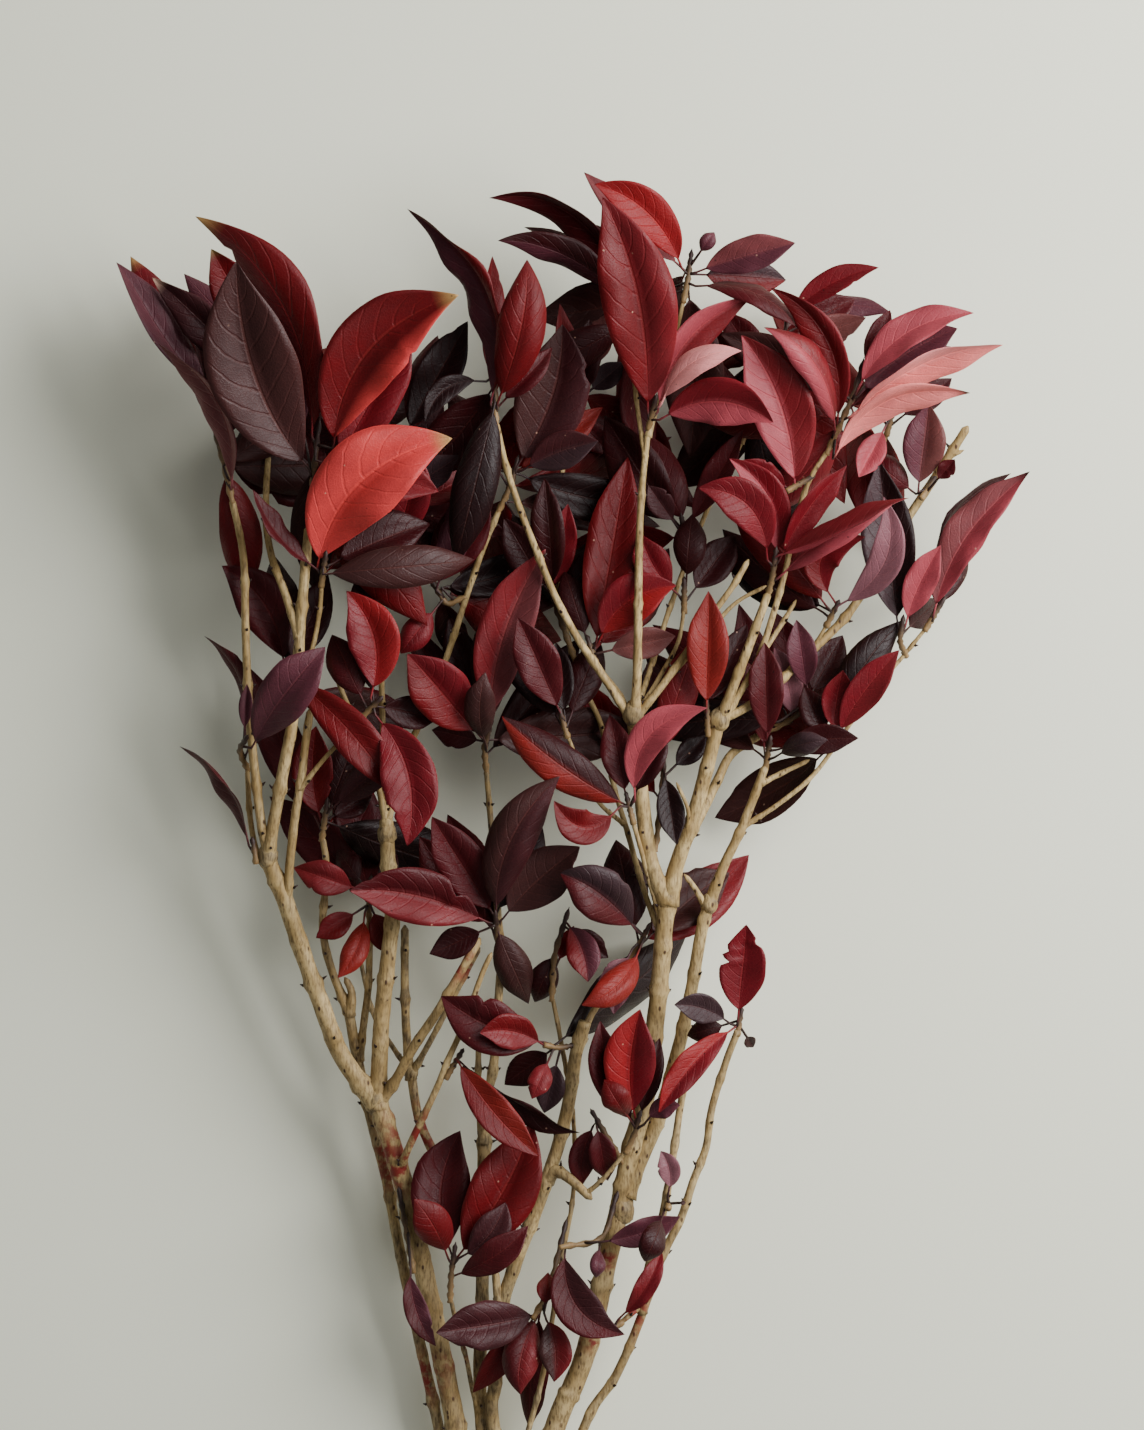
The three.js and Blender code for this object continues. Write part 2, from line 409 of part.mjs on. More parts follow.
    leaves: [[-39, 255, 4, 292, 38, 16, 2, 4], [-39, 256, -111, 270, 28, 18, -5, 5],
      [-38, 257, -6, 327, 24, 30, 9, 5], [-39, 257, -70, 307, 24, 20, 0, 4],
      [-38, 257, -14, 304, 26, 0], [-39, 256, -56, 312, 14, 2],
      [-39, 255, -71, 238, 18, -8], [-38, 254, -60, 329, 15, -14],
      [-38, 252, -22, 213, 18, -18]],
  },
  shoot_grey: {
    on: ["stem_hooked", "thin_right", 1], core: [[34, 243, 2], [37, 249, 4]], fill: 1,
    leaves: [[36, 247, -7, 279, 36, 26, -4, 6], [36, 249, 8, 276, 20, 2],
      [35, 246, 22, 296, 22, -14], [34, 242, 13, 225, 16, 4, 3],
      [34, 241, 21, 208, 14, 12, -3], [34, 241, 5, 213, 16, 24, 5, 4]],
  },
  shoot_hanging: {
    on: ["stem_hooked", "thin_left", 1], core: [[-9, 236, -2], [-3, 256, 2]], fill: 0,
    leaves: [[-4, 255, 8, 224, 18, 12, 3, 4], [-9, 226, 1, 252, 8, 10],
      [-8, 240, -19, 213, 20, -10], [-4, 252, 18, 236, 14, -6]],
  },
  shoot_coral_front: {
    on: ["stem_hooked", "arch_tip", 1], core: [[31, 147, 20], [33, 155, 22]], fill: 0,
    leaves: [[33, 154, 34, 211, 26, 18, 4, 5], [32, 152, 14, 205, 19, 12, 4, 4],
      [31, 149, 16, 176, 20, 2], [34, 155, 44, 197, 12, -8], [34, 154, 54, 163, 11, 10, 3]],
  },
  shoot_maroon_twin: {
    on: ["stem_main_right", "trunk", 0.6], core: [[15, 120, 14], [12.5, 140, 16],
      [12, 156, 16]], fill: 0,
    leaves: [[12, 154, 5, 121, 14, -8, -3], [12, 154, 18, 124, 14, -12]],
  },
  shoot_right_bitten: {
    on: ["stem_slim_right", "trunk", 1], core: [[84, 206, 12]], fill: 0,
    leaves: [[83.5, 203, 87, 253, 24, 14, 0, 4], [83, 203, 51, 213, 15, 20, -3, 4],
      [83, 203, 57, 197, 15, -6], [83.5, 204, 43, 159, 15, 12, -4, 6],
      [84, 204, 91, 191, 14, -12]],
  },
  shoot_rose_low: {
    on: ["stem_hooked", "trunk", 0.93], core: [[-6, 191, 12], [-11, 192, 14]], fill: 1,
    leaves: [[-10, 192, -65, 217, 32, 6, 4, 4], [-10, 191, -46, 199, 18, 20, -4, 5],
      [-9, 191, -20, 166, 12, 10], [-8, 191, -14, 158, 20, -8], [-9, 191, -34, 172, 20, -14]],
  },
  shoot_brick_low: {
    on: ["stem_tall_left", "dyed", 0.52], core: [[-57, 186, 14]], fill: 0,
    leaves: [[-58, 186, -16, 137, 18, 8, -3, 5], [-58, 186, 4, 147, 10, -10, -6]],
  },
  shoot_low_left: {
    on: ["stem_middle", "foot_shoot", 1], core: [[-61, 74, 8], [-59, 88, 10]], fill: 0,
    leaves: [[-59, 86, -20, 154, 34, 8, -4, 5], [-60, 84, -56, 149, 30, -4, 8],
      [-60, 80, -79, 116, 19, 22, -2, 4], [-59, 82, -33, 114, 20, -2, -4],
      [-60, 76, -22, 102, 16, 14, -3, 4]],
  },
  shoot_low_middle: {
    on: ["stem_thin", "trunk", 0.67], core: [[-14, 59, 12], [-18, 58, 15]], fill: 0,
    leaves: [[-16, 58, -68, 49, 25, 16, 1, 5], [-14, 59, -12, 78, 24, -6],
      [-16, 58, -26, 17, 19, 8, -4, 4], [-14, 58, -9, 24, 23, -2, 3],
      [-18, 57, -50, 17, 14, -12], [-16, 58, -22, -3, 15, -16]],
  },
  shoot_low_right: {
    on: ["stem_main_right", "trunk", 0.53], core: [[14, 94, 17], [4, 94, 20],
      [-3, 92, 21]], fill: 0,
    leaves: [[-3, 92, 26, 48, 22, 4, -12, 6], [14, 94, 54, 107, 14, 4, -2, 3],
      [14, 94, 12, 76, 8, -2]],
  },
  shoot_mauve_small: {
    on: ["stem_slim_right", "side", 0.46], core: [[48, 112, 20]], fill: 0,
    leaves: [[48, 112, 44, 140, 15, 6, -3, 3], [47.5, 111, 57, 114, 8, 2],
      [47, 110, 36, 84, 14, -12]],
  },
  shoot_rose_strip: {
    on: ["stem_slim_right", "dyed_shoot", 1], core: [[20, 50, 15]], fill: 0,
    leaves: [[21, 51, 45, 91, 11, 4, -3, 3]],
  },
  shoot_edge_low: {
    on: ["stem_tall_left", "trunk", 0.7], core: [[-80, 81, 0]], fill: 0,
    leaves: [[-81, 81, -68, 41, 12, 4, -4, 3]],
  },
};

// Leaves may be bent out of each other's way. Each bend is
// [more rise, more lift, more roll]; the first that stays clear is taken.
const BENDS = [[0, 0, 0], [0, 7, 0], [8, 3, 0], [-8, -3, 0], [0, -8, 0], [16, 6, 0.2],
  [-16, -6, -0.2], [4, 14, 0.4], [-4, -14, -0.4], [26, 8, 0.3], [-26, -8, -0.3],
  [10, -8, 0.5], [-10, 8, -0.5], [36, 12, 0], [-36, -12, 0]];

// Filling leaves, grown at the back by rule from a seeded draw
const FILL_SEEDS = [41, 5, 77]; // one for each turn round the crown
const CROWN_CENTRE = [0, 440];
const FILL_SPREAD = 1.3; // radians either side of the way to the crown's centre
const FILL_LENGTH = [58, 88];
const FILL_WIDTH = [20, 30];
const FILL_DROP = [14, 48];

const WOOD = { colour: 0xbfa878, roughness: 0.85 };
const LEAF_COLOURS = [0x8e3a3c, 0x6d2a30, 0x4a2229, 0x7d5058, 0xb04a44, 0x9a4c4a];
const LEAF_ROUGHNESS = 0.6;
const UP = new THREE.Vector3(0, 0, 1);

const middleHeight = (y) =>
  FOOT_HEIGHT + CROWN_RISE * (1 - Math.exp((FOOT_Y - y) / CROWN_REACH));
const place = ([x, y, depth]) => new THREE.Vector3(x, y, middleHeight(y) + depth);

// A closed mesh as a solid that can be joined and tested. Points closer than the weld
// become one.
function solid(geometry, weld = POINT_WELD) {
  geometry.deleteAttribute("normal");
  geometry.deleteAttribute("uv");
  const merged = mergeVertices(geometry, weld);
  return new wasm.Manifold(
    new wasm.Mesh({
      numProp: 3,
      vertProperties: new Float32Array(merged.attributes.position.array),
      triVerts: new Uint32Array(merged.index.array),
    }),
  );
}

// The direction of a line of points at point i, with its sideways and upward directions
function frameAt(points, i) {
  const before = points[Math.max(i - 1, 0)];
  const after = points[Math.min(i + 1, points.length - 1)];
  const along = after.clone().sub(before).normalize();
  const side = along.clone().cross(UP).normalize();
  return { along, side, over: side.clone().cross(along) };
}

// Corner k of the ring round point i of a line
function ringCorner(points, i, radius, k, sides) {
  const { side, over } = frameAt(points, i);
  const angle = (2 * Math.PI * k) / sides;
  return points[i].clone().addScaledVector(side, radius * Math.sin(angle))
    .addScaledVector(over, radius * Math.cos(angle));
}

// A tapering rod along a line of points: a cylinder bent over it
function rod(points, startRadius, endRadius, sides) {
  const last = points.length - 1;
  const geometry = new THREE.CylinderGeometry(1, 1, 1, sides, last);
  const position = geometry.attributes.position;
  for (let v = 0; v < position.count; v++) {
    const share = position.getY(v) + 0.5;
    const i = Math.round(share * last);
    const [x, z] = [position.getX(v), position.getZ(v)];
    const k = Math.round((Math.atan2(x, z) / (2 * Math.PI)) * sides + sides) % sides;
    const radius = Math.hypot(x, z) * THREE.MathUtils.lerp(startRadius, endRadius, share);
    const point = ringCorner(points, i, radius, k, sides);
    position.setXYZ(v, point.x, point.y, point.z);
  }
  return solid(geometry);
}

function knot(point, radius) {
  const geometry = new THREE.IcosahedronGeometry(radius, 0);
  const centre = place(point);
  geometry.scale(1, 1.35, 1);
  geometry.translate(centre.x, centre.y, centre.z);
  return solid(geometry);
}

// Where a share of a branch's length lies, and the radius there
function branchPoint(branch, share) {
  const [startRadius, endRadius, points] = branch;
  const line = points.map(place);
  const reach = share * (line.length - 1);
  const i = Math.min(Math.floor(reach), line.length - 2);
  return {
    point: line[i].clone().lerp(line[i + 1], reach - i),
    along: line[i + 1].clone().sub(line[i]).normalize(),
    radius: THREE.MathUtils.lerp(startRadius, endRadius, share),
  };
}

// A line of points shared out evenly into a number of steps
function evenLine(points, steps) {
  const lengths = [0];
  for (let i = 1; i < points.length; i++)
    lengths.push(lengths[i - 1] + points[i].distanceTo(points[i - 1]));
  return Array.from({ length: steps + 1 }, (_, j) => {
    const reach = (j / steps) * lengths[points.length - 1];
    let i = 1;
    while (i < points.length - 1 && lengths[i] < reach) i++;
    const share = (reach - lengths[i - 1]) / (lengths[i] - lengths[i - 1]);
    return points[i - 1].clone().lerp(points[i], share);
  });
}

// A shoot's stalk starts just off the wood that carries it, by a gap: in line at a
// branch's end, or square to its side
function stalkLine(shoot, gap) {
  const [stem, branch, share] = shoot.on;
  const seat = branchPoint(STEMS[stem][branch], share);
  const line = shoot.core.map(place);
  const away = line[0].clone().sub(seat.point);
  let offset = gap;
  if (share < 1) {
    away.addScaledVector(seat.along, -away.dot(seat.along));
    offset += seat.radius;
  }
  const start = seat.point.addScaledVector(away.normalize(), offset);
  const leaves = shoot.leaves.length + shoot.fill;
  const steps = Math.ceil(leaves / LEAVES_PER_STEP);
  return evenLine([start, ...line], steps);
}

// The faces of a shoot's stalk, each a place where one leaf can grow
function stalkFaces(line) {
  const last = line.length - 1;
  const faces = [];
  for (let i = 0; i < last; i++) {
    const radii = [i, i + 1].map((j) =>
      THREE.MathUtils.lerp(SHOOT_RADIUS, SHOOT_TIP_RADIUS, j / last));
    for (let k = 0; k < STALK_SIDES; k++) {
      const corner = (j, turn) =>
        ringCorner(line, i + j, radii[j], (k + turn) % STALK_SIDES, STALK_SIDES);
      const corners = [corner(0, 0), corner(0, 1), corner(1, 1), corner(1, 0)];
      const middle = corners.reduce((sum, point) => sum.add(point), new THREE.Vector3())
        .multiplyScalar(0.25);
      const axis = line[i].clone().lerp(line[i + 1], 0.5);
      const normal = middle.clone().sub(axis).normalize();
      faces.push({ corners, middle, normal });
    }
  }
  return faces;
}

// The free faces that a leaf may grow from, the best first: they look its way and lie
// near its foot, behind it rather than ahead
function facesFor(faces, row) {
  const [footX, footY, tipX, tipY, , rise] = row;
  const heading = new THREE.Vector3(tipX - footX, tipY - footY, 0).normalize();
  const score = ({ middle, normal }) => {
    const way = new THREE.Vector3(tipX - middle.x, tipY - middle.y, rise).normalize();
    const toFoot = new THREE.Vector3(footX - middle.x, footY - middle.y, 0);
    return normal.dot(way) + normal.dot(toFoot.clone().normalize()) / 2 -
      toFoot.length() * FACE_NEARNESS + Math.min(0, toFoot.dot(heading)) * FACE_AHEAD;
  };
  return faces.filter(({ leaf }) => !leaf).map((face) => [score(face), face])
    .sort((a, b) => b[0] - a[0]).slice(0, FACE_TRIES).map(([, face]) => face);
}

// A face's corners as the first ring of a leaf, in step with the leaf's next ring
function rootRing(face, next) {
  const centre = next.reduce((sum, point) => sum.add(point), new THREE.Vector3())
    .multiplyScalar(0.25);
  let best = null;
  for (let turn = 0; turn < 4; turn++) {
    const ring = face.corners.map((_, k) => face.corners[(k + turn) % 4]);
    const match = ring.reduce((sum, point, k) => sum +
      point.clone().sub(face.middle).normalize()
        .dot(next[k].clone().sub(centre).normalize()), 0);
    if (!best || match > best.match) best = { ring, match };
  }
  return best.ring;
}

// A blade's half width at a share of its length: a slim stalk, then an ellipse drawn out
// to a point
function halfWidth(share, stalk, width) {
  if (share <= stalk) return PETIOLE_WIDTH / 2;
  const u = (share - stalk) / (1 - stalk);
  const shape = (u ** 0.8 * (1 - u) ** 0.85) / 0.319;
  return Math.max((width / 2) * shape, PETIOLE_WIDTH / 2);
}

// Everything that fixes a leaf: its middle line, width, fold, roll and twist
function leafForm(face, row, index, bend) {
  const [footX, footY, tipX, tipY, width, rise, bow = 0, lift = 3, turn = 0] = row;
  const root = face.middle;
  const tip = new THREE.Vector3(tipX, tipY, Math.max(root.z + rise + bend[0],
    FLOOR_CLEARANCE));
  const base = new THREE.Vector3(footX, footY, root.z + FOOT_LIFT * face.normal.z);
  if (base.distanceTo(root) < SHORTEST_THREAD)
    base.copy(tip).sub(root).setLength(SHORTEST_THREAD).add(root);
  const chord = tip.clone().sub(base);
  const left = new THREE.Vector3(-chord.y, chord.x, 0).normalize();
  const fold = 0.34 + 0.1 * Math.sin(index * 2.3);
  const flat = Math.max(width / Math.cos(fold), SLENDERNESS * chord.length());
  const full = Math.min(flat, WIDEST_LEAF);
  const tilt = Math.acos(Math.min(1, width / (full * Math.cos(fold))));
  const handed = turn || (index % 2 ? -1 : 1);
  return {
    face, base, chord, left, bow, lift: lift + bend[1], full,
    fold: index % 3 === 2 ? -fold : fold,
    roll: handed * tilt + bend[2],
    twist: 0.35 * Math.sin(index * 1.7 + 1),
    stalk: PETIOLE_LENGTH / Math.max(chord.length(), 3 * PETIOLE_LENGTH),
  };
}

function leafMiddle(form, share) {
  const bulge = 4 * share * (1 - share);
  const point = form.base.clone().addScaledVector(form.chord, share)
    .addScaledVector(form.left, form.bow * bulge).addScaledVector(UP, form.lift * bulge);
  point.z = Math.max(point.z, FLOOR_CLEARANCE);
  return point;
}

// Four points round a blade at one station: left edge, top of the rib, right edge and
// underside of the rib. The edges keep to the middle line and the fold sinks the rib.
function leafRing(form, share, margin) {
  const step = 0.01;
  const centre = leafMiddle(form, share);
  const along = leafMiddle(form, share + step).sub(leafMiddle(form, share - step))
    .normalize();
  const level = along.clone().cross(UP).normalize();
  const over = level.clone().cross(along);
  const roll = form.roll + form.twist * (share - 0.5);
  const side = level.clone().multiplyScalar(Math.cos(roll))
    .addScaledVector(over, Math.sin(roll));
  const face = over.multiplyScalar(Math.cos(roll)).addScaledVector(level, -Math.sin(roll));
  const reach = halfWidth(share, form.stalk, form.full) + margin;
  const spread = reach * Math.cos(form.fold);
  const sag = reach * Math.sin(form.fold);
  const half = RIB_THICKNESS / 2 + margin;
  const edge = (way) => centre.clone().addScaledVector(side, way * spread);
  const rib = (way) => centre.clone().addScaledVector(face, way * half - sag);
  const ring = [edge(-1), rib(1), edge(1), rib(-1)];
  ring.forEach((point, k) => {
    point.z = Math.max(point.z, k === 3 ? 0 : half);
  });
  return ring;
}

// The blade's rings and its tip, from its face on the stalk on. The padded ones for
// testing start further out and stand off by a margin.
function bladePoints(form, stations, margin) {
  const first = margin ? form.stalk + 0.12 : 0;
  const rings = stations.map((u) => form.stalk + u * (1 - form.stalk))
    .filter((share) => share > first + 0.02).map((share) => leafRing(form, share, margin));
  rings.unshift(leafRing(form, first, margin));
  if (!margin) rings.unshift(rootRing(form.face, rings[0]));
  const tip = leafMiddle(form, 1).addScaledVector(form.chord.clone().normalize(), margin);
  return [...rings.flat(), tip];
}

// The blade's skin, two faces split alike and drawn out to a point; its root stays open
function bladeSkin(points) {
  const last = points.length - 1;
  const end = last - 4;
  const faces = [];
  for (let start = 0; start < end; start += 4) {
    for (let k = 0; k < 4; k++) {
      const [a, b] = [start + k, start + ((k + 1) % 4)];
      const [c, d] = [a + 4, b + 4];
      if (k < 2) faces.push(a, b, d, a, d, c);
      else faces.push(a, b, c, b, d, c);
    }
  }
  for (let k = 0; k < 4; k++) faces.push(end + k, end + ((k + 1) % 4), last);
  return faces.map((i) => points[i]);
}

const flat = (triangles) => new THREE.BufferGeometry().setFromPoints(triangles);
const quad = ([a, b, c, d]) => [a, b, c, a, c, d];

// One leaf by itself, its root closed
function blade(form, stations, margin = 0) {
  const points = bladePoints(form, stations, margin);
  const root = quad(points.slice(0, 4).reverse());
  return solid(flat([...bladeSkin(points), ...root]));
}

// A shoot's skin in one piece: each face of its stalk is bare or goes on into a leaf
function shootSkin({ line, faces }) {
  const ring = (i, radius) => Array.from({ length: STALK_SIDES }, (_, k) =>
    ringCorner(line, i, radius, k, STALK_SIDES));
  const ends = [...quad(ring(0, SHOOT_RADIUS).reverse()),
    ...quad(ring(line.length - 1, SHOOT_TIP_RADIUS))];
  const sides = faces.map(({ leaf, corners }) => (leaf ? bladeSkin(leaf) : quad(corners)));
  return solid(mergeGeometries([ends, ...sides].map(flat)));
}

// The filling leaves of one shoot: they start low on its stalk, turn in to the crown's
// middle and drop to the back
function fillRows(shoot, line, random) {
  const between = ([low, high]) => low + (high - low) * random();
  return Array.from({ length: shoot.fill }, (_, j) => {
    const base = line[0].clone().lerp(line[line.length - 1], (j + 1) / (shoot.fill + 1));
    const inward = Math.atan2(CROWN_CENTRE[1] - base.y, CROWN_CENTRE[0] - base.x);
    const heading = inward + FILL_SPREAD * (2 * random() - 1);
    const length = between(FILL_LENGTH);
    return [base.x, base.y, base.x + length * Math.cos(heading),
      base.y + length * Math.sin(heading), between(FILL_WIDTH), -between(FILL_DROP),
      8 * random() - 4, -6 * random()];
  });
}

function seededRandom(seed) {
  let state = seed;
  return () => {
    state = (state * 1664525 + 1013904223) % 4294967296;
    return state / 4294967296;
  };
}

// Solids that a new leaf has to stay clear of, each with its box
const taken = [];

function take(body, owner, isStalk = false) {
  const { min, max } = body.boundingBox();
  taken.push({ body, owner, isStalk, min, max });
}

// Whether a solid stays clear of those taken solids that count, but for an allowed volume
function isClear(body, counts, allowed = 0) {
  const { min, max } = body.boundingBox();
  return taken.every((other) => {
    const apart = [0, 1, 2].some((k) => other.min[k] > max[k] || other.max[k] < min[k]);
    return apart || !counts(other) || body.intersect(other.body).volume() <= allowed;
  });
}

function geometryOf(body) {
  const { vertProperties, triVerts, numProp } = body.getMesh();
  const geometry = new THREE.BufferGeometry();
  geometry.setAttribute("position", new THREE.BufferAttribute(vertProperties, numProp));
  geometry.setIndex(new THREE.BufferAttribute(triVerts, 1));
  return geometry;
}

// Solids joined into one body; a hollow sealed in between them is filled and slivers fall away
function join(name, bodies) {
  const welded = solid(geometryOf(wasm.Manifold.union(bodies)), JOINT_WELD);
  const shells = welded.decompose();
  const [outer, ...rest] = shells.sort((a, b) => b.volume() - a.volume());
  if (rest.some((shell) => shell.volume() > SLIVER_VOLUME)) throw new Error(`${name} is in pieces`);
  return outer;
}

function meshOf(name, body, look) {
  const geometry = geometryOf(body);
  geometry.translate(-CENTRE[0], -CENTRE[1], 0);
  geometry.computeVertexNormals();
  const material = new THREE.MeshStandardMaterial({
    color: look.colour, roughness: look.roughness, metalness: 0,
  });
  const mesh = new THREE.Mesh(geometry, material);
  mesh.name = name;
  return mesh;
}

const sidesFor = (radius) => (radius > 3.5 ? 6 : radius > 2 ? 5 : radius > 1.45 ? 4 : 3);

const group = new THREE.Group();

for (const [name, branches] of Object.entries(STEMS)) {
  const rods = Object.values(branches).map(([startRadius, endRadius, points]) =>
    rod(points.map(place), startRadius, endRadius, sidesFor(startRadius)));
  const knots = KNOTS.filter(([stem]) => stem === name)
    .map(([, point, radius]) => knot(point, radius));
  rods.concat(knots).forEach((body) => take(body, name));
  group.add(meshOf(name, join(name, rods.concat(knots)), WOOD));
}

// The first seat, from the closest on, where a shoot's stalk touches nothing
function seatShoot([name, shoot]) {
  for (const gap of SEAT_GAPS) {
    const line = stalkLine(shoot, gap);
    const stalk = rod(line, SHOOT_RADIUS, SHOOT_TIP_RADIUS, STALK_SIDES);
    if (!isClear(stalk, () => true)) continue;
    take(stalk, name, true);
    return { name, shoot, line, faces: stalkFaces(line) };
  }
  throw new Error(`${name} has no free seat`);
}

// Grows one leaf from the first face and with the first bend that keep it clear; where
// none does, that leaf is left out
function growLeaf(grown, row, index, stations) {
  const isOther = ({ owner }) => owner !== grown.name;
  const isOwn = ({ owner }) => owner === grown.name;
  const isBlade = (other) => isOther(other) || !other.isStalk;
  for (const bend of BENDS) {
    for (const face of facesFor(grown.faces, row)) {
      const form = leafForm(face, row, index, bend);
      if (!isClear(blade(form, stations, NODE_GAP), isBlade)) continue;
      const whole = blade(form, stations);
      if (!isClear(whole, isOther) || !isClear(whole, isOwn, ROOT_OVERLAP)) continue;
      face.leaf = bladePoints(form, stations, 0);
      take(whole, grown.name);
      return;
    }
  }
}

const shoots = Object.entries(SHOOTS).map(seatShoot);
for (const grown of shoots)
  grown.shoot.leaves.forEach((row, index) =>
    growLeaf(grown, row, index, row[5] < 0 ? SHORT_STATIONS : FULL_STATIONS));
for (const seed of FILL_SEEDS) {
  const random = seededRandom(seed);
  for (const grown of shoots)
    fillRows(grown.shoot, grown.line, random).forEach((row, index) =>
      growLeaf(grown, row, index + grown.shoot.leaves.length, SHORT_STATIONS));
}

shoots.forEach((grown, index) => {
  const look = { colour: LEAF_COLOURS[index % LEAF_COLOURS.length],
    roughness: LEAF_ROUGHNESS };
  group.add(meshOf(grown.name, shootSkin(grown), look));
});

export default group;
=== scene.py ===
# %% [markdown]
# # A dried osmanthus bunch, dressed for a close look
# The plain solids of the bunch are already made and packed. This lesson grows the wood and
# the leaves that a viewer sees over them. On the real thing, seven cut stems lie together:
# straw-coloured wood with dark specks, thin dark stalks, and a crown of leathery leaves that
# have been dyed and dried, from coral and scarlet to nearly black.
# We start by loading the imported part, because everything we make has to lie where its
# solids lie.

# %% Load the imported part
import math
import random

import bmesh
import bpy
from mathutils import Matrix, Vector, noise


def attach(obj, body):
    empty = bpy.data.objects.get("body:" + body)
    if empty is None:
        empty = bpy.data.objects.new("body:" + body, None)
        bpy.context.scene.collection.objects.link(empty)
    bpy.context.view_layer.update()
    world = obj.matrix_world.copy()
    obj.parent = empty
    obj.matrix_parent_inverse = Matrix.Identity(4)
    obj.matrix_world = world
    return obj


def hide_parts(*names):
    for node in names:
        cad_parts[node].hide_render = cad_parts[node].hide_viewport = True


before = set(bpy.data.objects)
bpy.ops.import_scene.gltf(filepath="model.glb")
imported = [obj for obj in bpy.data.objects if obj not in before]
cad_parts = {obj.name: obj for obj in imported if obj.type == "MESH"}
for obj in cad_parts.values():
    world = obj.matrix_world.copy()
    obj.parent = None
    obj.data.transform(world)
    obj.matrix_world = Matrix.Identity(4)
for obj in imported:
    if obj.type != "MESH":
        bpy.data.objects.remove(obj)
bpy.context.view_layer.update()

# %% [markdown]
# ## Where things lie
# Points of the bunch are written as it is seen from above: millimetres across, millimetres
# along, and how far over or under the middle of the bunch. The middle climbs gently from
# the cut feet to the crown, because the leaves prop the crown up. One function turns such a
# point into metres.

# %% From a point on the bunch to metres
MM = 0.001
CENTRE = (1.5, 236.26)   # the middle of the outline, which is the part's origin
FOOT_Y, FOOT_HEIGHT = -155, 15.2
CROWN_RISE, CROWN_REACH = 112, 950


def place(point):
    """[across, along, depth] in millimetres as a place in metres."""
    x, y, depth = point
    middle = FOOT_HEIGHT + CROWN_RISE * (1 - math.exp((FOOT_Y - y) / CROWN_REACH))
    return Vector((x - CENTRE[0], y - CENTRE[1], middle + depth)) * MM


def mix(a, b, share):
    return a + (b - a) * share


def unit(value):
    """The value itself, or the nearer of 0 and 1 if it lies outside them."""
    return min(1, max(0, value))


def unplace(spot):
    """How far across and along, in millimetres, a place in metres is."""
    return spot.x / MM + CENTRE[0], spot.y / MM + CENTRE[1]


def linear(code):
    """A screen colour such as '7a2229' as the linear numbers that shaders use."""
    parts = [int(code[i:i + 2], 16) / 255 for i in (0, 2, 4)]
    return [c / 12.92 if c <= 0.04045 else ((c + 0.055) / 1.055) ** 2.4 for c in parts]


print("the longest stem's cut foot lies at", tuple(round(c, 3) for c in place([-30, -155, -10])))

# %% [markdown]
# ## Materials by recipe
# Every finish here is procedural: a few noise patterns mixed into a Principled shader.
# Writing node after node by hand gets long, so a small helper makes a node, sets its
# values and links its inputs in one call. Values that stay the same all over a surface are
# set on the shader's own socket.

# %% A short hand for shader nodes
class Recipe:
    """One material and its nodes."""

    def __init__(self, name, roughness, specular):
        self.material = bpy.data.materials.new(name)
        self.material.use_nodes = True
        self.tree = self.material.node_tree
        self.shader = self.tree.nodes["Principled BSDF"]
        self.shader.inputs["Roughness"].default_value = roughness
        self.shader.inputs["Specular IOR Level"].default_value = specular

    def node(self, kind, settings=None, **inputs):
        made = self.tree.nodes.new("ShaderNode" + kind)
        for key, value in (settings or {}).items():
            setattr(made, key, value)
        for key, value in inputs.items():
            self.put(made.inputs[self.socket(made, key)], value)
        return made

    @staticmethod
    def socket(made, key):
        """Socket names have spaces; in a call they are written with underscores."""
        if key[0] == "_":
            return int(key[1:])
        return next(s.name for s in made.inputs if s.name.replace(" ", "_") == key)

    def put(self, socket, value):
        if isinstance(value, bpy.types.NodeSocket):
            self.tree.links.new(value, socket)
        else:
            socket.default_value = value

    def feed(self, name, output):
        self.put(self.shader.inputs[name], output)

    def maths(self, operation, *values):
        made = self.node("Math", {"operation": operation})
        for socket, value in zip(made.inputs, values):
            self.put(socket, value)
        return made.outputs[0]

    def band(self, value, low, high, start=0.0, end=1.0):
        """A smooth step: start below low, end above high."""
        return self.node("MapRange", {"interpolation_type": "SMOOTHSTEP"}, Value=value,
                         From_Min=low, From_Max=high, To_Min=start, To_Max=end).outputs[0]

    def blend(self, share, a, b, kind="MIX"):
        made = self.node("Mix", {"data_type": "RGBA", "blend_type": kind}, _0=share)
        self.put(made.inputs[6], a)
        self.put(made.inputs[7], b)
        return made.outputs[2]

    def noise(self, where, scale, detail=3.0, rough=0.55):
        return self.node("TexNoise", Vector=where, Scale=scale, Detail=detail,
                         Roughness=rough).outputs[0]

    def bump(self, height, strength, distance, under=None):
        made = self.node("Bump", Height=height, Strength=strength, Distance=distance)
        if under:
            self.put(made.inputs["Normal"], under)
        return made.outputs[0]


def colour(code):
    return (*linear(code), 1.0)


print("recipes ready")

# %% [markdown]
# ## Wood
# The bark of the cut stems is thin and smooth, the colour of straw, with fine brown specks
# (the pores that the bark breathes through) and greyer, rougher stretches low on the older
# stems. Some red dye has run onto it. We could paint all this by hand, but patterns by
# noise stay sharp at any distance. Each stem carries three numbers per point, written on
# the mesh as an attribute: the bark's age, how much dye has run there, and 1 on a cut end.

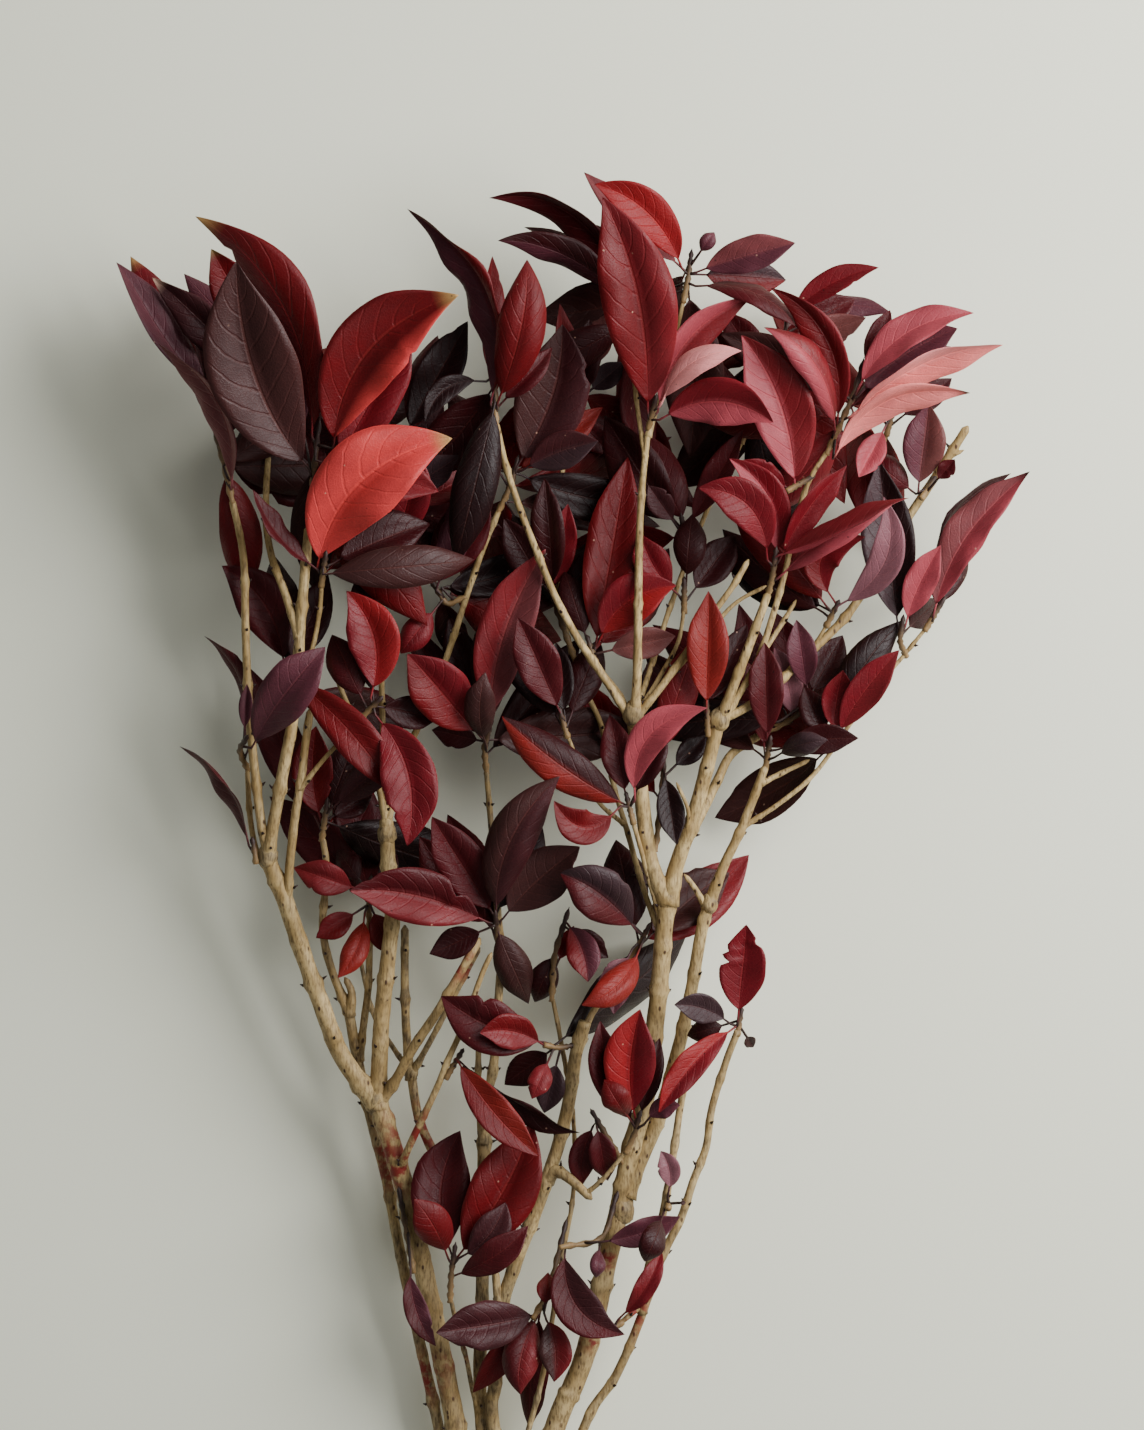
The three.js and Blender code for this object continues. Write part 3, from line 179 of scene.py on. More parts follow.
# %% The bark finish
def bark_finish():
    bark = Recipe("straw bark", 0.6, 0.3)
    where = bark.node("TexCoord").outputs["Object"]
    wear = bark.node("Attribute", {"attribute_name": "wear"})
    parts = bark.node("SeparateColor", Color=wear.outputs["Color"])
    old, dye, end = parts.outputs[0], parts.outputs[1], parts.outputs[2]
    along = bark.node("Mapping", Vector=where, Scale=(1.0, 0.22, 1.0)).outputs[0]
    grain = bark.noise(along, 900.0, 4.0, 0.6)
    cloud = bark.noise(where, 60.0, 3.0)
    straw = bark.blend(bark.band(cloud, 0.35, 0.7), colour("9a7f50"), colour("c4aa78"))
    straw = bark.blend(bark.band(grain, 0.4, 0.75), straw, colour("6c5634"))
    grey = bark.blend(bark.band(grain, 0.35, 0.65), colour("857558"), colour("4e4234"))
    ageing = bark.maths("MULTIPLY", old, bark.band(bark.noise(where, 130.0, 5.0), 0.36, 0.6))
    skin = bark.blend(ageing, straw, grey)
    long_cells = bark.node("Mapping", Vector=where, Scale=(1.0, 0.5, 1.0)).outputs[0]
    cells = bark.node("TexVoronoi", Vector=long_cells, Scale=330.0)
    pick = bark.node("SeparateColor", Color=cells.outputs["Color"])
    near = bark.band(cells.outputs["Distance"], 0.12, 0.3, 1.0, 0.0)
    specks = bark.maths("MULTIPLY", near, bark.band(pick.outputs[0], 0.62, 0.72))
    skin = bark.blend(specks, skin, colour("4a3322"))
    stain = bark.maths("MULTIPLY", dye, bark.band(bark.noise(where, 210.0, 4.0), 0.4, 0.58))
    skin = bark.blend(stain, skin, colour("7d2a22"))
    heart = bark.blend(bark.band(grain, 0.4, 0.7), colour("e2d2a8"), colour("b89a66"))
    skin = bark.blend(end, skin, heart)
    bark.feed("Base Color", skin)
    relief = bark.bump(grain, 0.25, 0.0004)
    relief = bark.bump(specks, 0.6, 0.0005, relief)
    bark.feed("Normal", bark.bump(ageing, 0.35, 0.0006, relief))
    return bark.material


BARK = bark_finish()
print("bark:", BARK.name)

# %% [markdown]
# ## The seven cut stems
# A woody stem is a tapering rod that is never quite straight and never quite round. A
# curve with a bevel would give smooth pipes, but bark wants swellings where old leaves sat,
# so each branch starts as a flat grid from `create_grid` that is rolled up round a line:
# one side of the grid becomes the way round, the other the way along. The seam is then
# welded and the ends are filled.
# The table lists the branches under their stem: a name, the radius in millimetres at the
# start and at the end, and after the colon the points that the branch passes. It holds the
# same numbers that the solids were made from.

# %% The table of branches
STEM_TABLE = """
stem_tall_left
trunk 5.2 4.9: -30 -155 -10, -45 -80 -9, -58.5 0 -8, -68.5 50 -8, -76 85 -8, -84 120 -7,
  -93 150 -6, -98.5 166 -6
left 4.6 4.2: -98 163 -6, -107 174 -5, -117 190 -4, -125 211 -2, -135 239 0, -143 263 2,
  -151 283 3, -153 292 4
far_left 1.6 1.3: -150 278 3, -157 287 0, -161 306 -2, -162.5 331 -4
high_left 2.4 1.7: -152 288 4, -155 302 6, -158.5 330 6, -161.5 365 6, -163 400 4, -164 436 2,
  -170 466 0
tall 3.1 2.4: -152 286 4, -149 304 8, -144 330 12, -139.5 354 14, -136.5 385 15, -134.5 412 15,
  -131 452 14
tall_side 2.1 1.5: -136 396 15, -143 418 11, -150 437 4, -153 458 -4, -152 488 -14
tall_back 1.3 1.1: -137.5 376 14, -130 389 12, -126 408 14, -124.5 424 17
inner 2.3 1.9: -142.5 262 2, -141 284 6, -138 309 8, -135 326 9, -133 344 9, -130.5 361 9
inner_side 1.3 1.0: -136 320 9, -125 334 14, -113 347 17, -103 358 18
straight 4.2 3.6: -97.5 160 -6, -95.5 203 -5, -92 237 -4, -90 258 -3, -92 284 -3, -93 307 -3
straight_top 1.6 1.4: -93 303 -3, -94.5 344 -6, -95.5 388 -8, -95.5 436 -8
diagonal_a 1.6 1.3: -93 303 -3, -97 322 -1, -104 341 0, -111 359 0, -118 378 -2, -121 394 -4
diagonal_b 1.4 1.1: -94 308 -4, -101 336 -8, -110 352 -11, -116 364 -12
slant 1.9 1.5: -92.5 304 -3, -84 335 -8, -76 354 -9, -64 383 -9, -53 416 -8, -44 442 -8, -36 461 -8
lower_slant 2.6 2.1: -97 162 -6, -88 175 0, -80 190 4, -66 211 6, -54 232 5, -46 246 2
dyed 2.0 1.3: -87 128 -6, -83 138 2, -77 151 7, -68 170 11, -62 185 13, -54 203 14, -45 228 15,
  -40 239 15
stem_slim_left
trunk 2.9 2.6: -40 -150 -12, -54 -75 -12, -67.5 0 -14, -78.5 50 -15, -87 90 -16, -93.5 125 -18,
  -102 158 -20, -108 186 -18, -112.5 211 -14
top 2.2 1.5: -112.5 209 -14, -121 231 -12, -125 250 -10, -124 266 -8, -123 282 -7, -125 297 -6
dried_knob 2.5 1.6: -112 207 -14, -110.5 218 -11, -114 226 -10
inner 2.0 1.6: -107 184 -18, -104.5 203 -15, -102 224 -13, -101.5 252 -12
stem_middle
trunk 3.3 3.3: -21 -152 -12, -32 -80 -11, -45.5 0 -11, -45 70 -12, -44.5 110 -12, -44 148 -12
upper 2.6 1.3: -44.5 142 -12, -43 165 -10, -39.5 180 -9, -37 213 -7, -35.5 240 -3, -37 258 -1,
  -40 296 -4, -43 331 -6
beside 1.8 1.5: -45 140 -12, -47 165 -15, -47 192 -17
branch 2.6 2.3: -45 102 -12, -52 112 -15, -62 124 -19, -72 142 -23, -78 158 -25, -81 178 -26
branch_up 2.3 2.0: -81 174 -26, -83 193 -24, -84 220 -22, -84 252 -22
branch_left 1.4 1.1: -81 177 -26, -90 190 -30, -100 207 -32, -107 236 -32
branch_right 1.7 1.3: -81 176 -26, -71 194 -18, -62 211 -14, -51 232 -12, -46 241 -12
foot_shoot 1.3 1.1: -45.5 2 -11, -50 18 -6, -53 34 -2, -58 52 2, -61 66 6
stem_hooked
trunk 3.4 3.3: -13 -148 -12, -24 -80 -10, -39.5 0 -5, -38.5 22 -4, -35 60 -2, -27 86 0, -18 109 2,
  -11.5 128 3, -6 145 4, -1 167 5, 2 188 7, 6.5 204 10
stub 2.3 1.9: -36 56 -2, -37.5 68 0, -38.5 79 1
arch 2.9 2.1: -12.5 124 2, -8 129 6, -2 126 10, 5 120 12, 10 115 12
arch_tip 1.3 1.0: 7 118 12, 14 124 15, 21 132 17, 28 141 19
thin_left 1.4 1.1: -0.5 170 5, -4 186 1, -7 202 -2, -10 217 -4
thin_right 1.8 1.6: 3 193 8, 10 208 4, 17 218 2, 30 237 0
stem_thin
trunk 1.8 1.1: -62 -146 -2, -45 -80 -1.7, -21.5 0 8, -14 30 8, -9 60 6, -3.5 93 0, 0 112 -4,
  1.5 134 -6, 0.5 160 -6
stem_main_right
trunk 5.9 4.3: -50 -155 4, -33 -80 5, -8.5 0 6, 1 22 6, 9.5 46 6, 15 72 6, 20 94 7, 25 117 7,
  29.5 140 7, 36 163 7, 40 190 8, 43.5 220 9, 46 250 10, 48 268 10
left 4.0 3.5: 47.5 264 10, 42 276 12, 38 290 13, 35.5 310 13, 33 334 14, 30.5 358 15
left_1 2.1 1.5: 30 354 15, 22 367 16, 12 382 17, 2 397 17, -9 418 17, -18 440 17, -27 463 17,
  -33 482 16, -38 504 15
left_2 2.4 1.5: 31 352 15, 32.5 380 20, 33 415 22, 33.5 445 20, 35 472 17, 38 500 10
left_3 2.0 1.4: 31 355 15, 44 371 17, 58 390 18, 71 409 19, 81 423 19, 88 435 18
left_3_side 1.3 1.0: 46 374 17, 62 391 14, 80 412 11, 97 422 9
left_4 1.5 1.2: 31 357 14, 37 374 6, 43 393 -1, 50 414 -5, 60 441 -9, 72 470 -12, 86 496 -13
left_5 1.3 1.0: 32 357 14, 44 377 10, 53 394 4, 56 411 1
left_6 1.4 1.1: 30 356 14, 23 369 12, 16 378 9, 11 386 6
top_left 1.3 1.0: 36.5 486 14, 33 508 4, 30 532 0
top_right 1.4 1.0: 38 496 11, 46 524 4, 52 548 4, 56 566 4
right 4.0 3.3: 48 263 10, 52 282 11, 58 299 12, 63 315 13, 68 334 14, 73.5 356 15
right_1 2.7 2.0: 73 352 15, 80 371 18, 87 389 20, 94 408 20, 98 419 19
right_2 1.9 1.2: 74 354 15, 84 369 14, 93 386 13, 101 410 11, 107 432 10, 111 452 12, 118 474 12,
  128 490 10
right_2_side 1.5 1.1: 88 376 13, 97 391 6, 106 405 2, 112 415 0
right_3 2.1 2.2: 74 355 15, 88 362 10, 103 374 4, 118 388 -2, 138 408 -8, 155 434 -14, 168 456 -16,
  182 477 -14, 198 502 -10
right_3_side 1.1 0.9: 114 384 0, 122 394 3, 128 404 5
right_3_up 1.3 1.0: 162 446 -15, 155 464 -16, 153 482 -15, 158 500 -12
cut_nub 1.4 1.0: 185 482 -13, 190 487 -12, 196 490 -12
behind 2.7 2.0: 56 294 12, 64 307 2, 72 323 -6, 80 338 -11, 95 348 -14
behind_twig 1.2 0.9: 56 295 11, 58 309 18, 52 324 20
thin_1 1.5 1.2: 45 246 9, 38 264 4, 33 280 0, 28 298 -3, 21 322 -7, 15 351 -10, 7 370 -11,
  -3 400 -12, -8 440 -16, -5 478 -18, 0 502 -18
thin_1_side 1.2 0.9: 26 303 -4, 15 312 2, 8 323 6, -3 349 9
thin_2 1.4 1.2: 45.5 252 10, 40 270 12, 35 288 16, 30 306 18
fork 3.9 2.9: 27 116 6, 34 134 3, 44 157 1, 50.5 180 0, 56 202 -1, 60.5 224 -1, 65 250 0, 69 265 1
fork_left 1.7 1.3: 67.5 260 1, 62 270 3, 56 278 4
fork_top 2.7 2.0: 68.5 262 1, 75 280 2, 83 297 3, 90 314 3, 97 333 3
fork_side 1.3 1.0: 85 301 3, 106 315 2, 122 329 0, 137 350 -5, 152 371 -9, 165 386 -10, 178 402 -10
fork_side_2 1.5 1.1: 94 323 3, 106 329 -3, 119 335 -6
stem_slim_right
trunk 2.8 1.8: -38 -150 3, -19 -75 5, 6 0 6, 22 26 6, 34 54 7, 45 86 8, 54 104 8, 61 125 9,
  67 141 9, 70 161 10, 77 184 11, 83 200 12
side 2.2 1.8: 35 58 7, 38 80 14, 45 106 16, 50 134 17, 54 161 17, 57 176 16
dyed_shoot 1.7 1.2: 35 62 7, 29 57 12, 23 52 14
"""


def rows_of(table):
    """The rows of a table as (head, cells). A row goes on after a comma at a line's end."""
    for row in table.strip().replace(",\n", ",").split("\n"):
        head, _, cells = row.partition(":")
        yield head, [cell.split() for cell in cells.split(",") if cell.strip()]


STEMS = {}
for row_head, row_cells in rows_of(STEM_TABLE):
    if row_cells:
        branch_name, *radii = row_head.split()
        points = [[float(number) for number in cell] for cell in row_cells]
        STEMS[stem_name][branch_name] = (*map(float, radii), points)
    else:
        stem_name = row_head
        STEMS[stem_name] = {}

print("branches:", sum(len(branches) for branches in STEMS.values()))

# %% [markdown]
# ## A smooth line through points
# The table holds one point for every few centimetres. A Catmull-Rom spline passes through
# all of them and bends evenly in between, which is how a grown branch looks.

# %% Splines
NEARLY_UPRIGHT = 0.05        # a line whose level part is shorter than this share of it


def spline(points, step):
    """Places along a smooth line through the points, about one step apart."""
    ends = [points[0] * 2 - points[1], *points, points[-1] * 2 - points[-2]]
    line = []
    for before, start, end, after in zip(ends, ends[1:], ends[2:], ends[3:]):
        count = max(1, round((end - start).length / step))
        for i in range(count):
            t = i / count
            line.append(0.5 * (2 * start + (end - before) * t
                               + (2 * before - 5 * start + 4 * end - after) * t * t
                               + (3 * start - before - 3 * end + after) * t ** 3))
    line.append(points[-1].copy())
    return line


def frames(line):
    """Each place on a line, with two directions square to the line there."""
    made = []
    for i, here in enumerate(line):
        along = (line[min(i + 1, len(line) - 1)] - line[max(i - 1, 0)]).normalized()
        side = along.cross(Vector((0, 0, 1)))
        if side.length < NEARLY_UPRIGHT:
            side = along.cross(Vector((0, 1, 0)))
        side.normalize()
        made.append((here, side, side.cross(along)))
    return made


print("a test line has", len(spline([place(p) for p in STEMS["stem_thin"]["trunk"][2]], 0.0025)),
      "places")

# %% [markdown]
# ## Rolling a grid into a rod
# `roll` does the work for stems, stalks and leaf stalks alike. It asks two small functions
# for the radius and for the attribute values, so bark swellings and dye stay out of it.

# %% Rods
SEAM = 1e-7                  # metres; corners nearer than this become one


def roll(bm, line, sides, radius, paint, layer):
    """A closed rod round a line, with radius(share, angle) in metres and paint(share, place)."""
    rings = frames(line)
    last = len(rings) - 1
    made = bmesh.ops.create_grid(bm, x_segments=sides, y_segments=last, size=0.5)["verts"]
    for vert in made:
        turn, share = vert.co.x + 0.5, vert.co.y + 0.5
        here, side, over = rings[round(share * last)]
        angle = 2 * math.pi * turn
        reach = radius(share, angle % (2 * math.pi))
        vert.co = here + reach * (math.sin(angle) * side + math.cos(angle) * over)
        vert[layer] = (*paint(share, vert.co), 1.0)
    faces = {face for vert in made for face in vert.link_faces}
    bmesh.ops.remove_doubles(bm, verts=made, dist=SEAM)
    rims = [edge for face in faces if face.is_valid for edge in face.edges if edge.is_boundary]
    caps = bmesh.ops.holes_fill(bm, edges=list(set(rims)), sides=0)["faces"]
    tube = [face for face in faces if face.is_valid] + caps
    bmesh.ops.recalc_face_normals(bm, faces=tube)


def fresh(attribute):
    """An empty mesh to build in, and its attribute of four numbers for each corner."""
    bm = bmesh.new()
    return bm, bm.verts.layers.float_color.new(attribute)


def in_scene(name, data):
    """A mesh, lamp or camera as an object in the scene."""
    made = bpy.data.objects.new(name, data)
    bpy.context.scene.collection.objects.link(made)
    return made


def object_from(bm, name, material):
    """The finished mesh as an object in the scene."""
    mesh = bpy.data.meshes.new(name)
    bm.to_mesh(mesh)
    bm.free()
    mesh.materials.append(material)
    return in_scene(name, mesh)


def piece_from(bm, name, material):
    """An object that is shaded smooth and moves with the part."""
    made = object_from(bm, name, material)
    made.data.shade_smooth()
    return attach(made, "root")


print("rods are welded at", SEAM, "metres")

# %% [markdown]
# ## Bark relief
# Leaves of this plant sit in opposite pairs, and each pair that has fallen leaves a raised
# scar. So every branch gets a pair of scars each two or three centimetres, turned a quarter
# round from the pair before. Near a fork the wood thickens. Both are changes of the radius,
# which keeps the surface in one skin.

# %% Scars, flares and stains
WOOD_STEP = 0.0024
SCAR_SPACING = (20, 32)     # millimetres
SCAR_LENGTH = 2.2
DYE_SPOTS = [((-88, 131), 12), ((-79, 146), 14), ((-94, 140), 5), ((-55, 232), 7),
             ((-76, 24), 11), ((30, 58), 9), ((12, 45), 6), ((18, 85), 5), ((-58, 34), 6)]
OLD_BELOW, FADE_OVER = -100, 450     # millimetres along: where age starts to fade, how far
FLARE = 0.45                # how much thicker a branch starts
RING, RIDGE = 0.1, 0.28     # the swelling all round a scar, and on its two sides
RIDGE_ON = 3.0              # millimetres; thicker wood has no higher ridges
UNEVEN, PATCH = 0.07, 9     # slow unevenness, and over how many millimetres it changes
BLUNT = 0.25                # the share of its radius that a branch keeps at its very end
OLD_WOOD = {"stem_tall_left": (0.35, 0.0), "stem_slim_left": (0.75, 0.35),
            "stem_middle": (0.9, 0.6), "stem_hooked": (0.6, 0.3), "stem_thin": (0.7, 0.5),
            "stem_main_right": (0.35, 0.0), "stem_slim_right": (0.55, 0.3)}


def scars_on(length, rng):
    """[(place along in mm, angle of the pair)] for one branch of that length in mm."""
    places, at, turn = [], rng.uniform(6, 14), rng.uniform(0, math.pi)
    while at < length - 5:
        places.append((at, turn))
        at += rng.uniform(*SCAR_SPACING)
        turn += math.pi / 2 + rng.uniform(-0.2, 0.2)
    return places


def bark_radius(start, end, length, scars, is_trunk, seed):
    """The radius of a branch in metres, with its scars, flare and slow unevenness."""
    def radius(share, angle):
        at = share * length
        reach = mix(start, end, share)
        if not is_trunk:
            reach *= 1 + FLARE * math.exp(-at / (1.6 * start))
        for place_along, turn in scars:
            near = math.exp(-((at - place_along) / SCAR_LENGTH) ** 2)
            if near > 0.02:
                facing = abs(math.cos(angle - turn)) ** 4
                reach += near * (RING * reach + RIDGE * facing * min(reach, RIDGE_ON))
        wobble = noise.noise(Vector((at / PATCH, math.cos(angle) * 1.3, seed + math.sin(angle))))
        reach *= 1 + UNEVEN * wobble
        left = length - at
        if left < reach and not is_trunk:
            reach *= max(BLUNT, math.sqrt(max(0.0, 1 - (1 - left / reach) ** 2)))
        return reach * MM
    return radius


def dye_at(x, y):
    spots = [math.exp(-(math.hypot(x - sx, y - sy) / size) ** 2)
             for (sx, sy), size in DYE_SPOTS]
    return min(1.0, 1.3 * max(spots))


def wear_of(stem, is_trunk):
    """Age, dye and cut end for each place of a branch."""
    low, high = OLD_WOOD[stem]

    def wear(share, spot):
        x, y = unplace(spot)
        age = mix(low, high, unit((y - OLD_BELOW) / FADE_OVER))
        return age, dye_at(x, y), 1.0 if is_trunk and share == 0 else 0.0
    return wear


print("places with run dye:", len(DYE_SPOTS))

# %% [markdown]
# ## Growing the stems
# Where branches leave, the wood swells into a knot. A knot is an icosphere that is pulled
# long and pushed about by noise, half sunk in the branches.

# %% Stems, one object for each
KNOTS = [
    ["stem_tall_left", [-98.5, 165, -6], 6.4],
    ["stem_tall_left", [-152, 287, 4], 5.2],
    ["stem_tall_left", [-92.5, 298, -3], 5.0],
    ["stem_middle", [-81, 178, -26], 3.9],
    ["stem_main_right", [30.5, 358, 15], 5.6],
    ["stem_main_right", [47.5, 266, 10], 6.0],
    ["stem_main_right", [73.5, 355, 15], 5.2],
    ["stem_main_right", [25, 110, 7], 6.6],
    ["stem_main_right", [68.5, 263, 1], 4.4],
]

KNOT_AGE = 0.75             # knots look like old bark
KNOT_STRETCH = 1.3          # a knot is longer than it is wide
KNOT_BUMPS, BUMPS_ACROSS = 0.16, 2.1
KNOT_SINK = 0.96
SCAR_PLACES = []            # (place, way out, radius) for the buds that come later


def add_knot(bm, point, size, layer, seed):
    grown = bmesh.ops.create_icosphere(bm, subdivisions=3, radius=size * MM)["verts"]
    for vert in grown:
        way = vert.co.normalized()
        bulge = 1 + KNOT_BUMPS * noise.noise(way * BUMPS_ACROSS + Vector((seed, 0, 0)))
        vert.co = Vector((way.x, way.y * KNOT_STRETCH, way.z)) * size * KNOT_SINK * bulge * MM
        vert.co += place(point)
        vert[layer] = (KNOT_AGE, 0.0, 0.0, 1.0)


def grow_stem(name, branches, rng):
    bm, layer = fresh("wear")
    for branch, (start, end, points) in branches.items():
        line = spline([place(point) for point in points], WOOD_STEP)
        length = sum((b - a).length for a, b in zip(line, line[1:])) / MM
        is_trunk = branch == "trunk"
        scars = scars_on(length, rng)
        sides = 16 if start > 3 else 12 if start > 1.9 else 10
        radius = bark_radius(start, end, length, scars, is_trunk, rng.random() * 50)
        roll(bm, line, sides, radius, wear_of(name, is_trunk), layer)
        rings = frames(line)
        last = len(rings) - 1
        for at, turn in scars:
            here, side, over = rings[min(last, round(at / length * last))]
            for half in (0, math.pi):
                out = math.sin(turn + half) * side + math.cos(turn + half) * over
                SCAR_PLACES.append((here, out, radius(at / length, turn + half)))
    for i, (stem, point, size) in enumerate(KNOTS):
        if stem == name:
            add_knot(bm, point, size, layer, i * 3.7)
    stem = piece_from(bm, name.replace("stem", "wood"), BARK)
    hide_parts(name)
    return stem


stem_rng = random.Random(11)
for stem_name, stem_branches in STEMS.items():
    grown_stem = grow_stem(stem_name, stem_branches, stem_rng)
    print(grown_stem.name, len(grown_stem.data.polygons), "faces")

# %% [markdown]
# ## Where the blades are
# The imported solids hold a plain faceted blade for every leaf: a few rings of four points
# (left edge, top of the rib, right edge, underside of the rib) and a sharp tip. Those rings
# say all that we need to grow a fine blade on the same spot: where it starts, how it bows,
# how wide it is and how far it is folded. We read them from a welded copy, walking from
# each tip down to the stalk. A tip is the only corner where four edges meet and whose
# distances to the blade's two edges are alike.

# %% Reading the plain blades
STATIONS = {3: (0.2, 0.52, 0.82), 2: (0.3, 0.72)}   # shares of a blade where its rings are
FOOT_WIDTH = 2.4 * MM        # a blade's foot is narrower than this
STALK_LENGTH = 5 * MM        # the slim part between the foot and the blade
WELD = 5e-6                  # metres; the solids' loose triangles are joined within this


def outline(u):
    """The half width of a leaf at a share of its blade, 1 where it is widest."""
    return (u ** 0.8 * (1 - u) ** 0.85) / 0.319 if 0 < u < 1 else 0.0


def others(vert):
    return [edge.other_vert(vert) for edge in vert.link_edges]


def ring_under(tip):
    """The four corners round a tip, from the left edge on, or None."""
    ring = [v for v in others(tip) if len(v.link_edges) == 4]
    if len(tip.link_edges) != 4 or len(ring) != 1:
        return None
    while len(ring) < 4:
        corners = [list(face.verts) for face in tip.link_faces if ring[-1] in face.verts]
        after = [c[(c.index(ring[-1]) + 1) % 3] for c in corners]
        ring += [v for v in after if v != tip][:1]
    return ring


def ring_below(ring, known):
    """The next ring towards the stalk, in step with this one, or None."""
    below = [[v for v in others(corner) if v not in known] for corner in ring]
    if [len(found) for found in below] != [1, 2, 3, 2]:
        return None
    left = below[0][0]
    top = next(v for v in below[1] if v != left)
    under = next(v for v in below[3] if v != left)
    right = [v for v in below[2] if v != top and v != under]
    return [left, top, right[0], under] if right else None


def walk(tip):
    """A blade's rings from its foot to its tip, and the stalk's corners under it."""
    ring = ring_under(tip)
    if not ring:
        return None
    rings, known = [ring], {tip, *ring}
    while (ring[0].co - ring[2].co).length > FOOT_WIDTH:
        ring = ring_below(ring, known)
        if not ring or len(rings) > 3:
            return None
        rings.append(ring)
        known.update(ring)
    seat = ring_below(ring, known)
    if not seat or len(rings) - 1 not in STATIONS:
        return None
    lop = abs(math.log((tip.co - rings[0][0].co).length / (tip.co - rings[0][2].co).length))
    return {"tip": tip, "rings": rings[::-1], "seat": seat, "lop": lop, "known": known}


def read_shoot(name):
    """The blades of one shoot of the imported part, and the line of its stalk."""
    bm = bmesh.new()
    bm.from_mesh(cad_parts[name].data)
    bmesh.ops.remove_doubles(bm, verts=bm.verts, dist=WELD)
    found = {}
    for vert in bm.verts:
        walked = walk(vert) if len(vert.link_edges) == 4 else None
        if walked:
            found[vert] = walked
    blades, used = [], set()
    for tip, walked in found.items():
        rival = found.get(walked["rings"][-1][0])
        if rival and rival["lop"] < walked["lop"]:
            continue
        blades.append(Blade(walked))
        used |= walked["known"]
    rest = [v.co.copy() for v in bm.verts if v not in used]
    bm.free()
    start = max(rest, key=lambda p: max((p - q).length for q in rest))
    rest.sort(key=lambda p: (p - start).length)
    line = [sum(rest[i:i + 4], Vector()) / 4 for i in range(0, len(rest) - 3, 4)]
    return blades, line


SHOOT_NAMES = sorted(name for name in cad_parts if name.startswith("shoot_"))
print("leafy shoots in the frame:", len(SHOOT_NAMES))

# %% [markdown]
# ## One blade as a smooth shape
# The rings lie on simple curves: the middle line is a chord with a bulge, and the width
# follows one outline. From them a `Blade` can give any point of the leaf. Real leaves are
# softer than facets, so the halves cup a little, the edges wave, and the tip curls.

# %% The shape of a leaf
WIDEST = 0.24                # of its length is the most that half a leaf may measure
TIP_FROM, TIP_LENGTH = 0.68, 0.32    # from there on the tip draws in,
TIP_PINCH = 0.38             # by this share at its end
CURL_FROM = 0.7
EDGE_WOBBLE = 0.05


class Blade:
    """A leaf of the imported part, as a smooth shape."""

    def __init__(self, walked):
        rings = [[v.co.copy() for v in ring] for ring in walked["rings"]]
        self.tip = walked["tip"].co.copy()
        self.seat = sum((v.co for v in walked["seat"]), Vector()) / 4
        middles = [(ring[0] + ring[2]) / 2 for ring in rings]
        self.foot = middles[0]
        self.chord = self.tip - self.foot
        self.stalk = STALK_LENGTH / max(self.chord.length, 3 * STALK_LENGTH)
        shares = [self.stalk + u * (1 - self.stalk) for u in STATIONS[len(rings) - 1]]
        self.bulge = sum(((m - self.foot - self.chord * s) / (4 * s * (1 - s))
                          for s, m in zip(shares, middles[1:])), Vector()) / len(shares)
        spreads = [(ring[2] - ring[0]).length / 2 for ring in rings[1:]]
        widths = [spread / outline(u) for spread, u in zip(spreads, STATIONS[len(rings) - 1])]
        self.half = min(sum(widths) / len(widths), WIDEST * self.chord.length)
        self.sides = [(0.0, (rings[0][2] - rings[0][0]).normalized())]
        sags = []
        for s, ring, middle, spread in zip(shares, rings[1:], middles[1:], spreads):
            self.sides.append((s, (ring[2] - ring[0]).normalized()))
            face = (ring[1] - ring[3]).normalized()
            sags.append((middle - (ring[1] + ring[3]) / 2).dot(face) / spread)
        self.fold = sum(sags) / len(sags)
        self.is_back = len(rings) == 3

    def middle(self, share):
        return self.foot + self.chord * share + self.bulge * (4 * share * (1 - share))

    def directions(self, share):
        """Across the blade to the right, and out of its upper face."""
        along = (self.middle(share + 0.01) - self.middle(share - 0.01)).normalized()
        last = self.sides[-1][1]
        for (s0, d0), (s1, d1) in zip(self.sides, self.sides[1:]):
            if share < s1:
                last = d0.lerp(d1, (share - s0) / (s1 - s0))
                break
        side = (last - along * last.dot(along)).normalized()
        return side, side.cross(along)

    def point(self, u, across):
        """A place on the leaf: u from its base to its tip, across from edge to edge."""
        look = self.look
        share = self.stalk + u * (1 - self.stalk)
        side, face = self.directions(share)
        spread = max(self.half * outline(u), 0.0005 * (1 - u))
        spread *= 1 - TIP_PINCH * max(0.0, (u - TIP_FROM) / TIP_LENGTH) ** 1.4
        spread *= 1 + EDGE_WOBBLE * noise.noise(Vector((u * 5, look["seed"], across > 0)))
        for where, depth, half_length, way in look["bites"]:
            if way * across > 0:
                spread *= 1 - depth * math.exp(-((u - where) / half_length) ** 2)
        reach = abs(across)
        keel = -self.fold * spread * (1 - reach ** 1.35)
        cup = look["cup"] * spread * math.sin(math.pi * reach) * math.sin(math.pi * u)
        wave = look["wave"] * reach ** 2.5 * math.sin(math.pi * u) * math.sin(
            2 * math.pi * (u * look["waves"] + look["phase"] * (1 if across > 0 else 2)))
        curl = look["curl"] * max(0.0, u - CURL_FROM) ** 2 * self.chord.length
        return self.middle(share) + side * across * spread + face * (keel + cup + wave + curl)


CROWN = {name: read_shoot(name) for name in SHOOT_NAMES}
print("leaves found:", sum(len(blades) for blades, _ in CROWN.values()))

